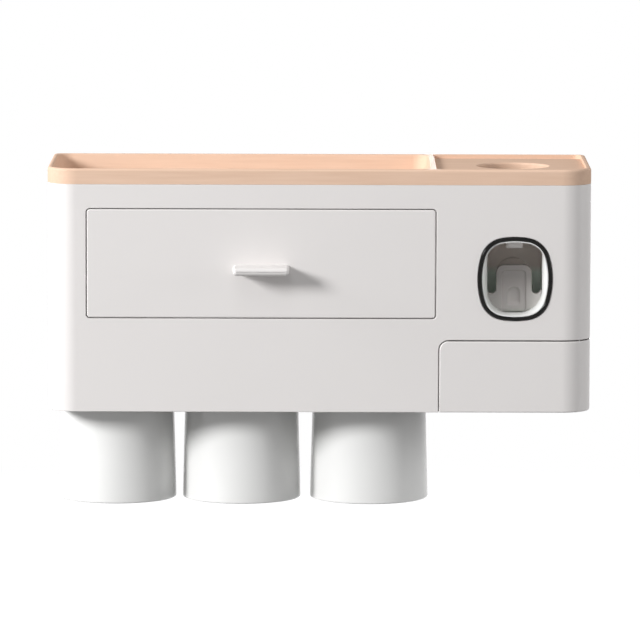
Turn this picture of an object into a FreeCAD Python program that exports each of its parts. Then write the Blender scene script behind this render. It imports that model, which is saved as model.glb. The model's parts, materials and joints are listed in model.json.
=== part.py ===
import FreeCAD, Part
import math
import os
import Sketcher

# Wall organiser with a toothpaste pump, a drawer, a top tray and three hanging cups.
# Frame: origin on the wall at the middle of the bracket, +X right as seen from the front,
# +Y into the wall, +Z up. Heights below are counted from the lower edge of the case and
# depths from the wall; each sub-part's Placement moves it down by mount_height.

doc = FreeCAD.newDocument("wall_organiser")
dims = doc.addObject("Spreadsheet::Sheet", "dims")

SIZES = [
    # Case, shelf and clearances
    ("case_front", 104.0),
    ("wall_gap", 1.0),
    ("case_wall", 2.6),
    ("corner_radius", 17.0),
    ("rear_radius", 1.2),
    ("dispenser_bay", 91.4),
    ("mount_height", 96.0),
    ("skirt_height", 55.6),
    ("shelf_thickness", 2.5),
    ("partition_thickness", 2.0),
    ("guide_height", 26.0),
    ("fit_gap", 0.2),
    ("run_gap", 0.4),
    # Drawer
    ("drawer_left_margin", 23.2),
    ("drawer_right_margin", 0.3),
    ("drawer_height", 65.4),
    ("drawer_top_margin", 14.3),
    ("drawer_corner", 2.4),
    ("drawer_seam", 0.5),
    ("drawer_panel", 3.0),
    ("drawer_wall", 1.8),
    ("drawer_floor", 1.8),
    ("drawer_box_drop", 8.0),
    ("drawer_box_corner", 4.0),
    ("drawer_back_room", 6.0),
    ("handle_length", 33.2),
    ("handle_height", 4.8),
    ("handle_reach", 17.0),
    ("handle_edge", 1.8),
    ("handle_front_edge", 1.7),
    ("handle_drop", 3.1),
    ("panel_screw_inset", 12.0),
    ("panel_screw_depth", 2.0),
    # Tray
    ("tray_rim", 9.2),
    ("tray_lip", 2.8),
    ("tray_edge", 1.6),
    ("tray_inner_edge", 1.0),
    ("tray_rear_corner", 5.0),
    ("tray_well_depth", 16.0),
    ("tray_well_draft", 3.4),
    ("tray_well_fillet", 3.0),
    ("tray_floor", 2.2),
    ("tray_well_corner", 9.0),
    ("tray_divider", 3.8),
    ("tray_divider_edge", 1.7),
    ("tray_deck_drop", 2.4),
    ("tray_deck", 2.4),
    ("tube_hole_radius", 21.0),
    ("tube_hole_edge", 1.2),
    ("tube_collar", 7.0),
    ("tube_collar_wall", 2.0),
    ("tube_depth", 51.0),
    # Wall side
    ("back_inset", 6.0),
    ("back_thickness", 2.5),
    ("screw_radius", 1.5),
    ("screw_head_radius", 2.9),
    ("screw_head", 1.8),
    ("screw_length", 9.0),
    ("boss_radius", 3.6),
    ("boss_length", 14.0),
    ("boss_low", 6.5),
    ("boss_high", 50.0),
    ("bracket_width", 232.0),
    ("bracket_height", 40.0),
    ("bracket_thickness", 2.4),
    ("bracket_corner", 5.0),
    ("bracket_hole_spacing", 124.0),
    ("bracket_hole_radius", 2.25),
    ("hook_spacing", 184.0),
    ("hook_width", 16.0),
    ("hook_drop", 6.0),
    ("hook_metal", 2.4),
    ("hook_lip", 8.0),
    ("pad_height", 30.0),
    ("pad_hole_room", 8.0),
    # Cups and magnets
    ("cup_mouth_radius", 35.4),
    ("cup_height", 96.9),
    ("cup_draft", 2.3),
    ("cup_wall", 2.2),
    ("cup_base", 3.4),
    ("cup_base_edge", 4.0),
    ("cup_lip_edge", 0.9),
    ("cup_depth", 52.0),
    ("left_cup_gap", 3.8),
    ("right_cup_gap", 5.7),
    ("cup_side_gap", 2.1),
    ("cup_end_gap", 2.0),
    ("magnet_radius", 10.0),
    ("magnet_height", 4.0),
    ("magnet_boss_wall", 4.0),
    ("magnet_boss_height", 12.0),
    ("magnet_cap", 1.5),
    ("magnet_gap", 0.3),
    ("keeper_radius", 14.0),
    ("keeper_thickness", 1.2),
    # Brush compartment
    ("cover_left_margin", 0.8),
    ("cover_top_drop", 10.1),
    ("cover_seam", 0.8),
    ("cover_wall", 2.2),
    ("cover_side_depth", 45.0),
    ("cover_corner", 6.0),
    ("cover_edge_bevel", 1.4),
    ("hinge_rise", 6.6),
    ("hinge_setback", 2.3),
    ("hinge_eye_radius", 2.0),
    ("hinge_pin_radius", 1.0),
    ("hinge_fit", 0.07),
    ("hinge_arm_width", 3.0),
    ("hinge_arm_depth", 2.6),
    ("hinge_arm_offset", 9.7),
    ("hinge_arm_drop", 16.0),
    ("hinge_lug", 2.0),
    ("hinge_inset", 9.0),
    ("rack_height", 7.0),
    ("rack_thickness", 2.5),
    ("rack_front_room", 12.0),
    ("rack_side_gap", 1.6),
    ("rack_upstand", 22.0),
    ("rack_slot_width", 10.0),
    ("rack_slot_length", 52.0),
    ("rack_slot_pitch", 19.5),
    # Window and liner
    ("window_from_right", 45.2),
    ("window_half_width", 21.9),
    ("window_half_height", 24.8),
    ("window_side_radius", 48.0),
    ("window_corner_radius", 15.0),
    ("window_margin", 1.6),
    ("bezel_band", 2.4),
    ("bezel_proud", 0.8),
    ("bezel_edge", 0.6),
    ("liner_depth", 9.0),
    ("liner_mouth_wall", 0.6),
    ("throat_half_width", 16.5),
    ("throat_half_height", 20.8),
    ("throat_side_radius", 150.0),
    ("throat_corner_radius", 9.0),
    # Pump and lever
    ("pump_wall", 3.2),
    ("pump_floor", 1.2),
    ("pump_roof", 6.0),
    ("pump_rear_room", 9.0),
    ("cavity_depth", 41.0),
    ("cavity_corner", 6.0),
    ("lever_setback", 25.0),
    ("lever_thickness", 5.0),
    ("lever_base_height", 8.6),
    ("lever_height", 25.9),
    ("lever_half_width", 10.6),
    ("lever_corner", 5.0),
    ("lever_inset", 2.6),
    ("lever_recess", 1.2),
    ("lever_scoop_half_width", 3.9),
    ("lever_scoop_height", 12.5),
    ("lever_scoop", 2.6),
    ("lever_pin_radius", 1.5),
    ("piston_rise", 18.0),
    ("piston_nose_radius", 5.4),
    ("piston_rod_radius", 6.0),
    ("piston_rod_length", 16.0),
    ("piston_disc_radius", 9.6),
    ("piston_groove", 1.4),
    ("piston_disc", 4.0),
    ("piston_seal_radius", 10.0),
    ("piston_seal_width", 1.6),
    ("bore_radius", 10.3),
    ("bellows_radius", 8.6),
    ("bellows_fold", 1.8),
    ("bellows_skin", 0.9),
    ("inlet_radius", 3.0),
    ("seal_radius", 12.0),
    ("seal_height", 10.0),
    ("seal_seat", 3.0),
    ("seal_bore_radius", 6.5),
    ("valve_radius", 5.0),
    ("valve_height", 2.0),
    ("nozzle_half_width", 4.9),
    ("nozzle_depth", 10.0),
    ("nozzle_height", 4.0),
    ("nozzle_setback", 14.0),
    ("nozzle_bore_radius", 2.0),
    ("pump_cover_thickness", 2.4),
]

for row, (alias, size) in enumerate(SIZES, start=1):
    dims.set(f"A{row}", alias)
    dims.set(f"B{row}", str(size))
    dims.setAlias(f"B{row}", alias)
doc.recompute()

# Places worked out from the driving sizes
FIRST_CUP = "(dims.case_wall + dims.cup_side_gap + dims.cup_mouth_radius)"
SECOND_CUP = f"({FIRST_CUP} + 2 * dims.cup_mouth_radius + dims.left_cup_gap)"
THIRD_CUP = f"({SECOND_CUP} + 2 * dims.cup_mouth_radius + dims.right_cup_gap)"
CUP_BAY = f"({THIRD_CUP} + dims.cup_mouth_radius + dims.cup_end_gap)"
CASE_HALF = f"(({CUP_BAY} + dims.partition_thickness + dims.dispenser_bay) / 2)"
INNER_HALF = f"({CASE_HALF} - dims.case_wall)"
INNER_FRONT = "(dims.case_front - dims.case_wall)"
INNER_CORNER = "(dims.corner_radius - dims.case_wall)"
PARTITION_LEFT = f"({CUP_BAY} - {CASE_HALF})"
PARTITION_RIGHT = f"({PARTITION_LEFT} + dims.partition_thickness)"
SHELF_BOTTOM = "(dims.skirt_height - dims.shelf_thickness)"
DRAWER_LEFT = f"(dims.drawer_left_margin - {CASE_HALF})"
DRAWER_RIGHT = f"({PARTITION_RIGHT} - dims.drawer_right_margin)"
DRAWER_TOP = "(dims.skirt_height + dims.drawer_height)"
DRAWER_MIDDLE = f"(({DRAWER_LEFT} + {DRAWER_RIGHT}) / 2)"
CASE_HEIGHT = f"({DRAWER_TOP} + dims.drawer_top_margin)"
TRAY_TOP = f"({CASE_HEIGHT} + dims.tray_rim)"
PLUG_BOTTOM = f"({TRAY_TOP} - dims.tray_well_depth - dims.tray_floor)"
BACK_FRONT = "(dims.back_inset + dims.back_thickness)"
WINDOW_X = f"({CASE_HALF} - dims.window_from_right)"
WINDOW_Z = "(dims.skirt_height + dims.window_margin + dims.window_half_height - dims.bezel_band)"
COVER_SEAM_Z = f"({SHELF_BOTTOM} - dims.cover_top_drop)"
HINGE_DEPTH = f"({INNER_FRONT} - dims.hinge_setback)"
HINGE_Z = f"({COVER_SEAM_Z} + dims.hinge_rise)"
DOWN = "-dims.mount_height"

nodes = []


def node(thing, label, x="0", y="0", z=DOWN):
    """Name a finished sub-part and place it."""
    thing.Label = label
    for key, expression in zip("xyz", (x, y, z)):
        thing.setExpression("Placement.Base." + key, expression)
    nodes.append(thing)
    return thing


def new_body(name):
    return doc.addObject("PartDesign::Body", name + "_body")


def sketch(body, name, role, offset="0", x="0", y="0"):
    """Empty sketch on one of the body's own planes, moved by expressions."""
    plane = next(feature for feature in body.Origin.OriginFeatures if feature.Role == role)
    made = body.newObject("Sketcher::SketchObject", name)
    made.AttachmentSupport = [(plane, "")]
    made.MapMode = "FlatFace"
    for key, expression in zip("xyz", (x, y, offset)):
        made.setExpression("AttachmentOffset.Base." + key, expression)
    return made


def hold(drawing, kind, references, expression):
    """Add a dimension whose value comes from the sheet."""
    value = drawing.evalExpression(expression)
    index = drawing.addConstraint(Sketcher.Constraint(kind, *references, value))
    drawing.setExpression(f"Constraints[{index}]", expression)


def hold_point(drawing, geometry, position, x, y):
    hold(drawing, "DistanceX", (-1, 1, geometry, position), x)
    hold(drawing, "DistanceY", (-1, 1, geometry, position), y)


def circle(drawing, x, y, radius):
    centre = FreeCAD.Vector(drawing.evalExpression(x), drawing.evalExpression(y), 0)
    ring = Part.Circle(centre, FreeCAD.Vector(0, 0, 1), drawing.evalExpression(radius))
    index = drawing.addGeometry(ring, False)
    hold(drawing, "Radius", (index,), radius)
    hold_point(drawing, index, 3, x, y)


def outline(drawing, corners):
    """Closed outline through corners (x, y) or, rounded, (x, y, radius), listed in order."""
    points = [FreeCAD.Vector(drawing.evalExpression(c[0]), drawing.evalExpression(c[1]), 0) for c in corners]
    count = len(points)
    entries, exits, arcs = [], [], []
    for index, corner in enumerate(corners):
        point = points[index]
        before = (points[index - 1] - point).normalize()
        after = (points[(index + 1) % count] - point).normalize()
        if len(corner) == 2:
            entries.append(point)
            exits.append(point)
            arcs.append(None)
            continue
        radius = drawing.evalExpression(corner[2])
        half_turn = before.getAngle(after) / 2
        reach = radius / math.tan(half_turn)
        bisector = (before + after).normalize()
        centre = point + bisector * (radius / math.sin(half_turn))
        entries.append(point + before * reach)
        exits.append(point + after * reach)
        arcs.append(Part.Arc(entries[-1], centre - bisector * radius, exits[-1]))
    edges = []
    for index in range(count):
        line = Part.LineSegment(exits[index], entries[(index + 1) % count])
        edges.append(drawing.addGeometry(line, False))
    for index, corner in enumerate(corners):
        into = edges[index - 1]
        out = edges[index]
        if arcs[index] is None:
            drawing.addConstraint(Sketcher.Constraint("Coincident", into, 2, out, 1))
            hold_point(drawing, out, 1, corner[0], corner[1])
            continue
        bend = drawing.addGeometry(arcs[index], False)
        arc_start = drawing.getPoint(bend, 1)
        first, last = (1, 2) if arc_start.distanceToPoint(entries[index]) < 1e-6 else (2, 1)
        drawing.addConstraint(Sketcher.Constraint("Tangent", into, 2, bend, first))
        drawing.addConstraint(Sketcher.Constraint("Tangent", out, 1, bend, last))
        hold(drawing, "Radius", (bend,), corner[2])
        tip = drawing.addGeometry(Part.Point(points[index]), True)
        hold_point(drawing, tip, 1, corner[0], corner[1])
        drawing.addConstraint(Sketcher.Constraint("PointOnObject", tip, 1, into))
        drawing.addConstraint(Sketcher.Constraint("PointOnObject", tip, 1, out))


def rectangle(drawing, left, right, bottom, top, radius=None):
    corners = [(left, bottom), (right, bottom), (right, top), (left, top)]
    if radius is not None:
        corners = [corner + (radius,) for corner in corners]
    outline(drawing, corners)


def squircle(drawing, half_width, half_height, side_radius, corner_radius):
    """Rounded window outline about the sketch's origin: four bowed sides, four corner arcs."""
    width, height, side, corner = [
        drawing.evalExpression(e) for e in (half_width, half_height, side_radius, corner_radius)]
    top = FreeCAD.Vector(0, height - side, 0)
    right = FreeCAD.Vector(width - side, 0, 0)
    across = right - top
    middle = (top + right) * 0.5
    normal = FreeCAD.Vector(across.y, -across.x, 0).normalize()
    rise = math.sqrt((side - corner) ** 2 - (across.Length / 2) ** 2)
    centre = middle + normal * rise
    turn_top = math.atan2(centre.y - top.y, centre.x - top.x)
    turn_right = math.atan2(centre.y - right.y, centre.x - right.x)
    up = FreeCAD.Vector(0, 0, 1)
    spans = [
        (right, side, -turn_right, turn_right),
        (centre, corner, turn_right, turn_top),
        (top, side, turn_top, math.pi - turn_top),
        (FreeCAD.Vector(-centre.x, centre.y, 0), corner, math.pi - turn_top, math.pi - turn_right),
        (-right, side, math.pi - turn_right, math.pi + turn_right),
        (-centre, corner, math.pi + turn_right, math.pi + turn_top),
        (-top, side, math.pi + turn_top, 2 * math.pi - turn_top),
        (FreeCAD.Vector(centre.x, -centre.y, 0), corner, -turn_top, -turn_right),
    ]
    arcs = []
    for middle_point, radius, start, end in spans:
        arc = Part.ArcOfCircle(Part.Circle(middle_point, up, radius), start, end)
        arcs.append(drawing.addGeometry(arc, False))
    for index, arc in enumerate(arcs):
        drawing.addConstraint(Sketcher.Constraint("Tangent", arc, 2, arcs[(index + 1) % 8], 1))
        hold(drawing, "Radius", (arc,), corner_radius if index % 2 else side_radius)
    hold_point(drawing, arcs[0], 3, f"{half_width} - {side_radius}", "0")
    hold_point(drawing, arcs[2], 3, "0", f"{half_height} - {side_radius}")
    hold_point(drawing, arcs[4], 3, f"{side_radius} - {half_width}", "0")
    hold_point(drawing, arcs[6], 3, "0", f"{side_radius} - {half_height}")


def pad(body, profile, length, reverse=False):
    made = body.newObject("PartDesign::Pad", profile.Name + "_pad")
    made.Profile = profile
    made.setExpression("Length", length)
    made.Reversed = reverse
    return made


def pocket(body, profile, length, reverse=False):
    made = body.newObject("PartDesign::Pocket", profile.Name + "_pocket")
    made.Profile = profile
    made.setExpression("Length", length)
    made.Reversed = reverse
    return made


def edges_where(feature, test):
    """Names of the feature's edges whose every vertex passes the test."""
    doc.recompute()
    return [
        f"Edge{index}" for index, edge in enumerate(feature.Shape.Edges, start=1)
        if all(test(vertex.Point) for vertex in edge.Vertexes)]


def fillet(body, feature, radius, test):
    made = body.newObject("PartDesign::Fillet", feature.Name + "_fillet")
    made.Base = (feature, edges_where(feature, test))
    made.setExpression("Radius", radius)
    return made


def revolve(body, profile):
    made = body.newObject("PartDesign::Revolution", profile.Name + "_turned")
    made.Profile = profile
    made.ReferenceAxis = (profile, ["V_Axis"])
    made.Angle = 360
    return made


def near(one, other):
    return abs(one - other) < 0.01


ALONG_DEPTH = FreeCAD.Rotation(FreeCAD.Vector(1, 0, 0), 90)
ALONG_WIDTH = FreeCAD.Rotation(FreeCAD.Vector(0, 1, 0), 90)
UPRIGHT = FreeCAD.Rotation()


def cylinder(name, radius, height, x, y, z, turn=UPRIGHT):
    made = doc.addObject("Part::Cylinder", name)
    made.setExpression("Radius", radius)
    made.setExpression("Height", height)
    made.Placement = FreeCAD.Placement(FreeCAD.Vector(), turn)
    for key, expression in zip("xyz", (x, y, z)):
        made.setExpression("Placement.Base." + key, expression)
    return made


def group(name, members):
    made = doc.addObject("Part::Compound", name + "_group")
    made.Links = members
    return made


def screw(name, x, y, z, turn, length):
    """Pan-head screw: the shank points along the turned Z axis from (x, y, z), the head lies behind."""
    made = new_body(name)
    profile = sketch(made, name + "_profile", "XZ_Plane")
    outline(profile, [
        ("0", "-dims.screw_head"), ("dims.screw_head_radius", "-dims.screw_head"),
        ("dims.screw_head_radius", "0"), ("dims.screw_radius", "0"),
        ("dims.screw_radius", length), ("0", length)])
    revolve(made, profile)
    made.Placement = FreeCAD.Placement(FreeCAD.Vector(), turn)
    for key, expression in zip("xyz", (x, y, z)):
        made.setExpression("Placement.Base." + key, expression)
    return made


# Case shell: white front and side walls in one moulding, open at the top, bottom and back
SHELL_PLAN = [
    (f"-{CASE_HALF}", "-dims.wall_gap"),
    (f"-{CASE_HALF}", "-dims.case_front", "dims.corner_radius"),
    (CASE_HALF, "-dims.case_front", "dims.corner_radius"),
    (CASE_HALF, "-dims.wall_gap"),
]
BOSS_X = f"({INNER_HALF} - dims.boss_radius + dims.fit_gap)"
BOSS_HEIGHTS = ("dims.skirt_height + dims.boss_low", "dims.skirt_height + dims.boss_high")
BOSS_PLACES = [(side + BOSS_X, height) for side in ("-", "") for height in BOSS_HEIGHTS]
SCREW_HOLE = "dims.screw_radius + dims.fit_gap / 2"
COVER_LEFT = f"({PARTITION_RIGHT} + dims.cover_left_margin)"

shell = new_body("case_shell")
shell_plan = sketch(shell, "shell_plan", "XY_Plane")
outline(shell_plan, SHELL_PLAN + [
    (INNER_HALF, "-dims.wall_gap"),
    (INNER_HALF, f"-{INNER_FRONT}", INNER_CORNER),
    (f"-{INNER_HALF}", f"-{INNER_FRONT}", INNER_CORNER),
    (f"-{INNER_HALF}", "-dims.wall_gap"),
])
pad(shell, shell_plan, CASE_HEIGHT)
shell_bosses = sketch(shell, "shell_bosses", "XZ_Plane", BACK_FRONT)
for boss_x, boss_z in BOSS_PLACES:
    circle(shell_bosses, boss_x, boss_z, "dims.boss_radius")
pad(shell, shell_bosses, "dims.boss_length")
shell_pilots = sketch(shell, "shell_pilots", "XZ_Plane", BACK_FRONT)
for boss_x, boss_z in BOSS_PLACES:
    circle(shell_pilots, boss_x, boss_z, SCREW_HOLE)
pocket(shell, shell_pilots, "dims.screw_length", reverse=True)
shell_drawer = sketch(shell, "shell_drawer_opening", "XZ_Plane", "dims.case_front")
rectangle(shell_drawer, DRAWER_LEFT, DRAWER_RIGHT, "dims.skirt_height", DRAWER_TOP, "dims.drawer_corner")
pocket(shell, shell_drawer, "2 * dims.case_wall")
shell_window = sketch(shell, "shell_window", "XZ_Plane", "dims.case_front", WINDOW_X, WINDOW_Z)
squircle(shell_window, "(dims.window_half_width + dims.fit_gap)", "(dims.window_half_height + dims.fit_gap)",
         "(dims.window_side_radius + dims.fit_gap)", "(dims.window_corner_radius + dims.fit_gap)")
pocket(shell, shell_window, "2 * dims.case_wall")
shell_flap = sketch(shell, "shell_flap_opening", "XZ_Plane", "dims.case_front")
outline(shell_flap, [
    (COVER_LEFT, "-dims.case_wall"),
    (f"{CASE_HALF} + dims.case_wall", "-dims.case_wall"),
    (f"{CASE_HALF} + dims.case_wall", f"{COVER_SEAM_Z} + dims.cover_seam / 2"),
    (COVER_LEFT, f"{COVER_SEAM_Z} + dims.cover_seam / 2", "dims.cover_corner"),
])
pocket(shell, shell_flap, "dims.cover_side_depth + dims.cover_seam")
node(shell, "case_shell")

# Top tray: peach moulding whose rim sits on the case; a long well, a divider and a shallow
# deck with the round hole that a paste tube stands in
LIP_HALF = f"({CASE_HALF} - dims.tray_lip)"
LIP_FRONT = "(dims.case_front - dims.tray_lip)"
LIP_BACK = "(dims.wall_gap + dims.tray_lip)"
PLUG_HALF = f"({INNER_HALF} - dims.fit_gap)"
PLUG_FRONT = f"({INNER_FRONT} - dims.fit_gap)"
PLUG_CORNER = f"({INNER_CORNER} - dims.fit_gap)"
PLUG_BACK = "(dims.wall_gap + dims.case_wall)"
DIVIDER_LEFT = f"({PARTITION_RIGHT} - dims.tray_divider)"
DECK_LEFT = PARTITION_RIGHT

tray = new_body("top_tray")
tray_rim = sketch(tray, "tray_rim_plan", "XY_Plane", CASE_HEIGHT)
outline(tray_rim, [
    (f"-{CASE_HALF}", "-dims.wall_gap", "dims.tray_rear_corner"),
    (f"-{CASE_HALF}", "-dims.case_front", "dims.corner_radius"),
    (CASE_HALF, "-dims.case_front", "dims.corner_radius"),
    (CASE_HALF, "-dims.wall_gap", "dims.tray_rear_corner"),
])
rim_pad = pad(tray, tray_rim, "dims.tray_rim")
tray_plug = sketch(tray, "tray_plug_plan", "XY_Plane", CASE_HEIGHT)
outline(tray_plug, [
    (f"-{PLUG_HALF}", f"-{PLUG_BACK}"),
    (f"-{PLUG_HALF}", f"-{PLUG_FRONT}", PLUG_CORNER),
    (PLUG_HALF, f"-{PLUG_FRONT}", PLUG_CORNER),
    (PLUG_HALF, f"-{PLUG_BACK}"),
])
pad(tray, tray_plug, f"{CASE_HEIGHT} - {PLUG_BOTTOM}", reverse=True)
tray_well = sketch(tray, "tray_well_plan", "XY_Plane", TRAY_TOP)
outline(tray_well, [
    (f"-{LIP_HALF}", f"-{LIP_BACK}", "dims.tray_well_corner"),
    (f"-{LIP_HALF}", f"-{LIP_FRONT}", "dims.corner_radius - dims.tray_lip"),
    (DIVIDER_LEFT, f"-{LIP_FRONT}", "dims.tray_well_corner"),
    (DIVIDER_LEFT, f"-{LIP_BACK}", "dims.tray_well_corner"),
])
well_cut = pocket(tray, tray_well, "dims.tray_well_depth")
well_cut.setExpression("TaperAngle", "-atan(dims.tray_well_draft / dims.tray_well_depth)")
tray_deck = sketch(tray, "tray_deck_plan", "XY_Plane", TRAY_TOP)
outline(tray_deck, [
    (DECK_LEFT, f"-{LIP_BACK}"),
    (DECK_LEFT, f"-{LIP_FRONT}"),
    (LIP_HALF, f"-{LIP_FRONT}", "dims.corner_radius - dims.tray_lip"),
    (LIP_HALF, f"-{LIP_BACK}", "dims.tray_rear_corner"),
])
pocket(tray, tray_deck, "dims.tray_deck_drop")
tray_hollow = sketch(tray, "tray_hollow_plan", "XY_Plane", PLUG_BOTTOM)
HOLLOW_RIGHT = f"({PLUG_HALF} - dims.tray_floor)"
HOLLOW_FRONT = f"({PLUG_FRONT} - dims.tray_floor)"
DECK_TOP = f"({TRAY_TOP} - dims.tray_deck_drop)"
DECK_BOTTOM = f"({DECK_TOP} - dims.tray_deck)"
outline(tray_hollow, [
    (DECK_LEFT, f"-{PLUG_BACK} - dims.tray_floor"),
    (DECK_LEFT, f"-{HOLLOW_FRONT}"),
    (HOLLOW_RIGHT, f"-{HOLLOW_FRONT}", f"{PLUG_CORNER} - dims.tray_floor"),
    (HOLLOW_RIGHT, f"-{PLUG_BACK} - dims.tray_floor"),
])
pocket(tray, tray_hollow, f"{DECK_BOTTOM} - {PLUG_BOTTOM}", reverse=True)
tube_collar = sketch(tray, "tube_collar", "XY_Plane", DECK_BOTTOM)
circle(tube_collar, WINDOW_X, "-dims.tube_depth", "dims.tube_hole_radius + dims.tube_collar_wall")
pad(tray, tube_collar, "dims.tube_collar", reverse=True)
tray_hole = sketch(tray, "tray_hole", "XY_Plane", TRAY_TOP)
circle(tray_hole, WINDOW_X, "-dims.tube_depth", "dims.tube_hole_radius")
hole_cut = pocket(tray, tray_hole, f"{TRAY_TOP} - {DECK_BOTTOM} + dims.tube_collar + dims.tray_floor")
tray_top = dims.evalExpression(TRAY_TOP)
deck_top = dims.evalExpression(DECK_TOP)
well_floor = dims.evalExpression(f"{TRAY_TOP} - dims.tray_well_depth")
deck_left = dims.evalExpression(DECK_LEFT)
tray_half = dims.evalExpression(CASE_HALF)
tray_front = -dims.evalExpression("case_front")
tray_rear = -dims.evalExpression("wall_gap")
hole_right = dims.evalExpression(f"{WINDOW_X} + dims.tube_hole_radius")


def on_outside(point):
    return near(abs(point.x), tray_half) or near(point.y, tray_front) or near(point.y, tray_rear)


rounded_outside = fillet(tray, hole_cut, "dims.tray_edge", lambda p: near(p.z, tray_top) and on_outside(p))
rounded_floor = fillet(tray, rounded_outside, "dims.tray_well_fillet", lambda p: near(p.z, well_floor))
rounded_hole = fillet(tray, rounded_floor, "dims.tube_hole_edge",
                      lambda p: near(p.z, deck_top) and near(p.x, hole_right))
rounded_divider = fillet(tray, rounded_hole, "dims.tray_divider_edge",
                         lambda p: near(p.z, tray_top) and near(p.x, deck_left))
fillet(tray, rounded_divider, "dims.tray_inner_edge",
       lambda p: near(p.z, tray_top) and p.x < deck_left - dims.evalExpression("tray_divider_edge"))
node(tray, "top_tray")

# Inner frame: shelf under the drawer, partition, drawer guide, magnet bosses and hinge lugs
FRAME_BACK = f"({BACK_FRONT} + dims.fit_gap)"
FRAME_HALF = f"({INNER_HALF} - dims.fit_gap)"
FRAME_FRONT = f"({INNER_FRONT} - dims.fit_gap)"
PARTITION_FRONT = "(dims.case_front - dims.drawer_panel - dims.run_gap)"
GUIDE_RIGHT = f"({DRAWER_LEFT} + dims.drawer_wall)"
CUP_XS = [f"({place} - {CASE_HALF})" for place in (FIRST_CUP, SECOND_CUP, THIRD_CUP)]
BOSS_RADIUS = "(dims.magnet_radius + dims.magnet_boss_wall)"
BOSS_BOTTOM = f"({SHELF_BOTTOM} - dims.magnet_boss_height)"
ARM_LEFTS = [
    f"({COVER_LEFT} + dims.cover_seam + dims.hinge_inset)",
    f"({CASE_HALF} - dims.corner_radius - dims.hinge_inset)",
]
LUG_STEP = "(dims.hinge_lug + dims.run_gap)"

frame = new_body("inner_frame")
shelf_plan = sketch(frame, "shelf_plan", "XY_Plane", SHELF_BOTTOM)
outline(shelf_plan, [
    (f"-{FRAME_HALF}", f"-{FRAME_BACK}"),
    (f"-{FRAME_HALF}", f"-{FRAME_FRONT}", PLUG_CORNER),
    (FRAME_HALF, f"-{FRAME_FRONT}", PLUG_CORNER),
    (FRAME_HALF, f"-{FRAME_BACK}"),
])
pad(frame, shelf_plan, "dims.shelf_thickness")
partition = sketch(frame, "partition_side", "XY_Plane")
rectangle(partition, PARTITION_LEFT, PARTITION_RIGHT, f"-{PARTITION_FRONT}", f"-{FRAME_BACK}")
pad(frame, partition, f"{PLUG_BOTTOM} - dims.fit_gap")
guide = sketch(frame, "guide_plan", "XY_Plane", "dims.skirt_height")
rectangle(guide, f"{GUIDE_RIGHT} - dims.partition_thickness", GUIDE_RIGHT, f"-{PARTITION_FRONT}",
          f"-{FRAME_BACK}")
pad(frame, guide, "dims.guide_height")
magnet_bosses = sketch(frame, "magnet_bosses", "XY_Plane", BOSS_BOTTOM)
for cup_x in CUP_XS:
    circle(magnet_bosses, cup_x, "-dims.cup_depth", BOSS_RADIUS)
pad(frame, magnet_bosses, "dims.magnet_boss_height")
magnet_seats = sketch(frame, "magnet_seats", "XY_Plane", BOSS_BOTTOM)
for cup_x in CUP_XS:
    circle(magnet_seats, cup_x, "-dims.cup_depth", "dims.magnet_radius + dims.fit_gap")
pocket(frame, magnet_seats, "dims.magnet_height", reverse=True)
for side, arm_left in zip(("left", "right"), ARM_LEFTS):
    lug_lefts = (f"{arm_left} - {LUG_STEP}", f"{arm_left} + dims.hinge_arm_width + dims.run_gap")
    for end, lug_left in zip(("a", "b"), lug_lefts):
        lug = sketch(frame, f"lug_{side}_{end}", "YZ_Plane", lug_left)
        outline(lug, [
            (f"dims.hinge_eye_radius - {HINGE_DEPTH}", f"{SHELF_BOTTOM} + dims.fit_gap"),
            (f"dims.hinge_eye_radius - {HINGE_DEPTH}", f"{HINGE_Z} - dims.hinge_eye_radius"),
            (f"-dims.hinge_eye_radius - {HINGE_DEPTH}", f"{HINGE_Z} - dims.hinge_eye_radius"),
            (f"-dims.hinge_eye_radius - {HINGE_DEPTH}", f"{SHELF_BOTTOM} + dims.fit_gap"),
        ])
        pad(frame, lug, "dims.hinge_lug")
        lug_bore = sketch(frame, f"lug_bore_{side}_{end}", "YZ_Plane", lug_left)
        circle(lug_bore, f"-{HINGE_DEPTH}", HINGE_Z, "dims.hinge_pin_radius + dims.hinge_fit")
        pocket(frame, lug_bore, "dims.hinge_lug", reverse=True)
shelf_holes = sketch(frame, "shelf_holes", "XY_Plane", "dims.skirt_height")
PUMP_SCREW_Y = "-dims.tube_depth + dims.tube_hole_radius / 2"
PUMP_SCREWS = [(f"({WINDOW_X} {side} dims.throat_half_width / 2)", PUMP_SCREW_Y) for side in "-+"]
for screw_x, screw_y in PUMP_SCREWS:
    circle(shelf_holes, screw_x, screw_y, SCREW_HOLE)
pocket(frame, shelf_holes, "dims.shelf_thickness")
node(frame, "inner_frame")

# Magnets, their caps, and the steel keeper set in each cup's base
CUP_TOP = f"({BOSS_BOTTOM} - dims.magnet_cap - dims.magnet_gap)"
node(group("cup_magnets", [
    cylinder(f"magnet_{number}", "dims.magnet_radius", "dims.magnet_height", cup_x, "-dims.cup_depth",
             BOSS_BOTTOM)
    for number, cup_x in enumerate(CUP_XS, start=1)]), "cup_magnets")
node(group("magnet_caps", [
    cylinder(f"cap_{number}", BOSS_RADIUS, "dims.magnet_cap", cup_x, "-dims.cup_depth",
             f"{BOSS_BOTTOM} - dims.magnet_cap")
    for number, cup_x in enumerate(CUP_XS, start=1)]), "magnet_caps")

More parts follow.
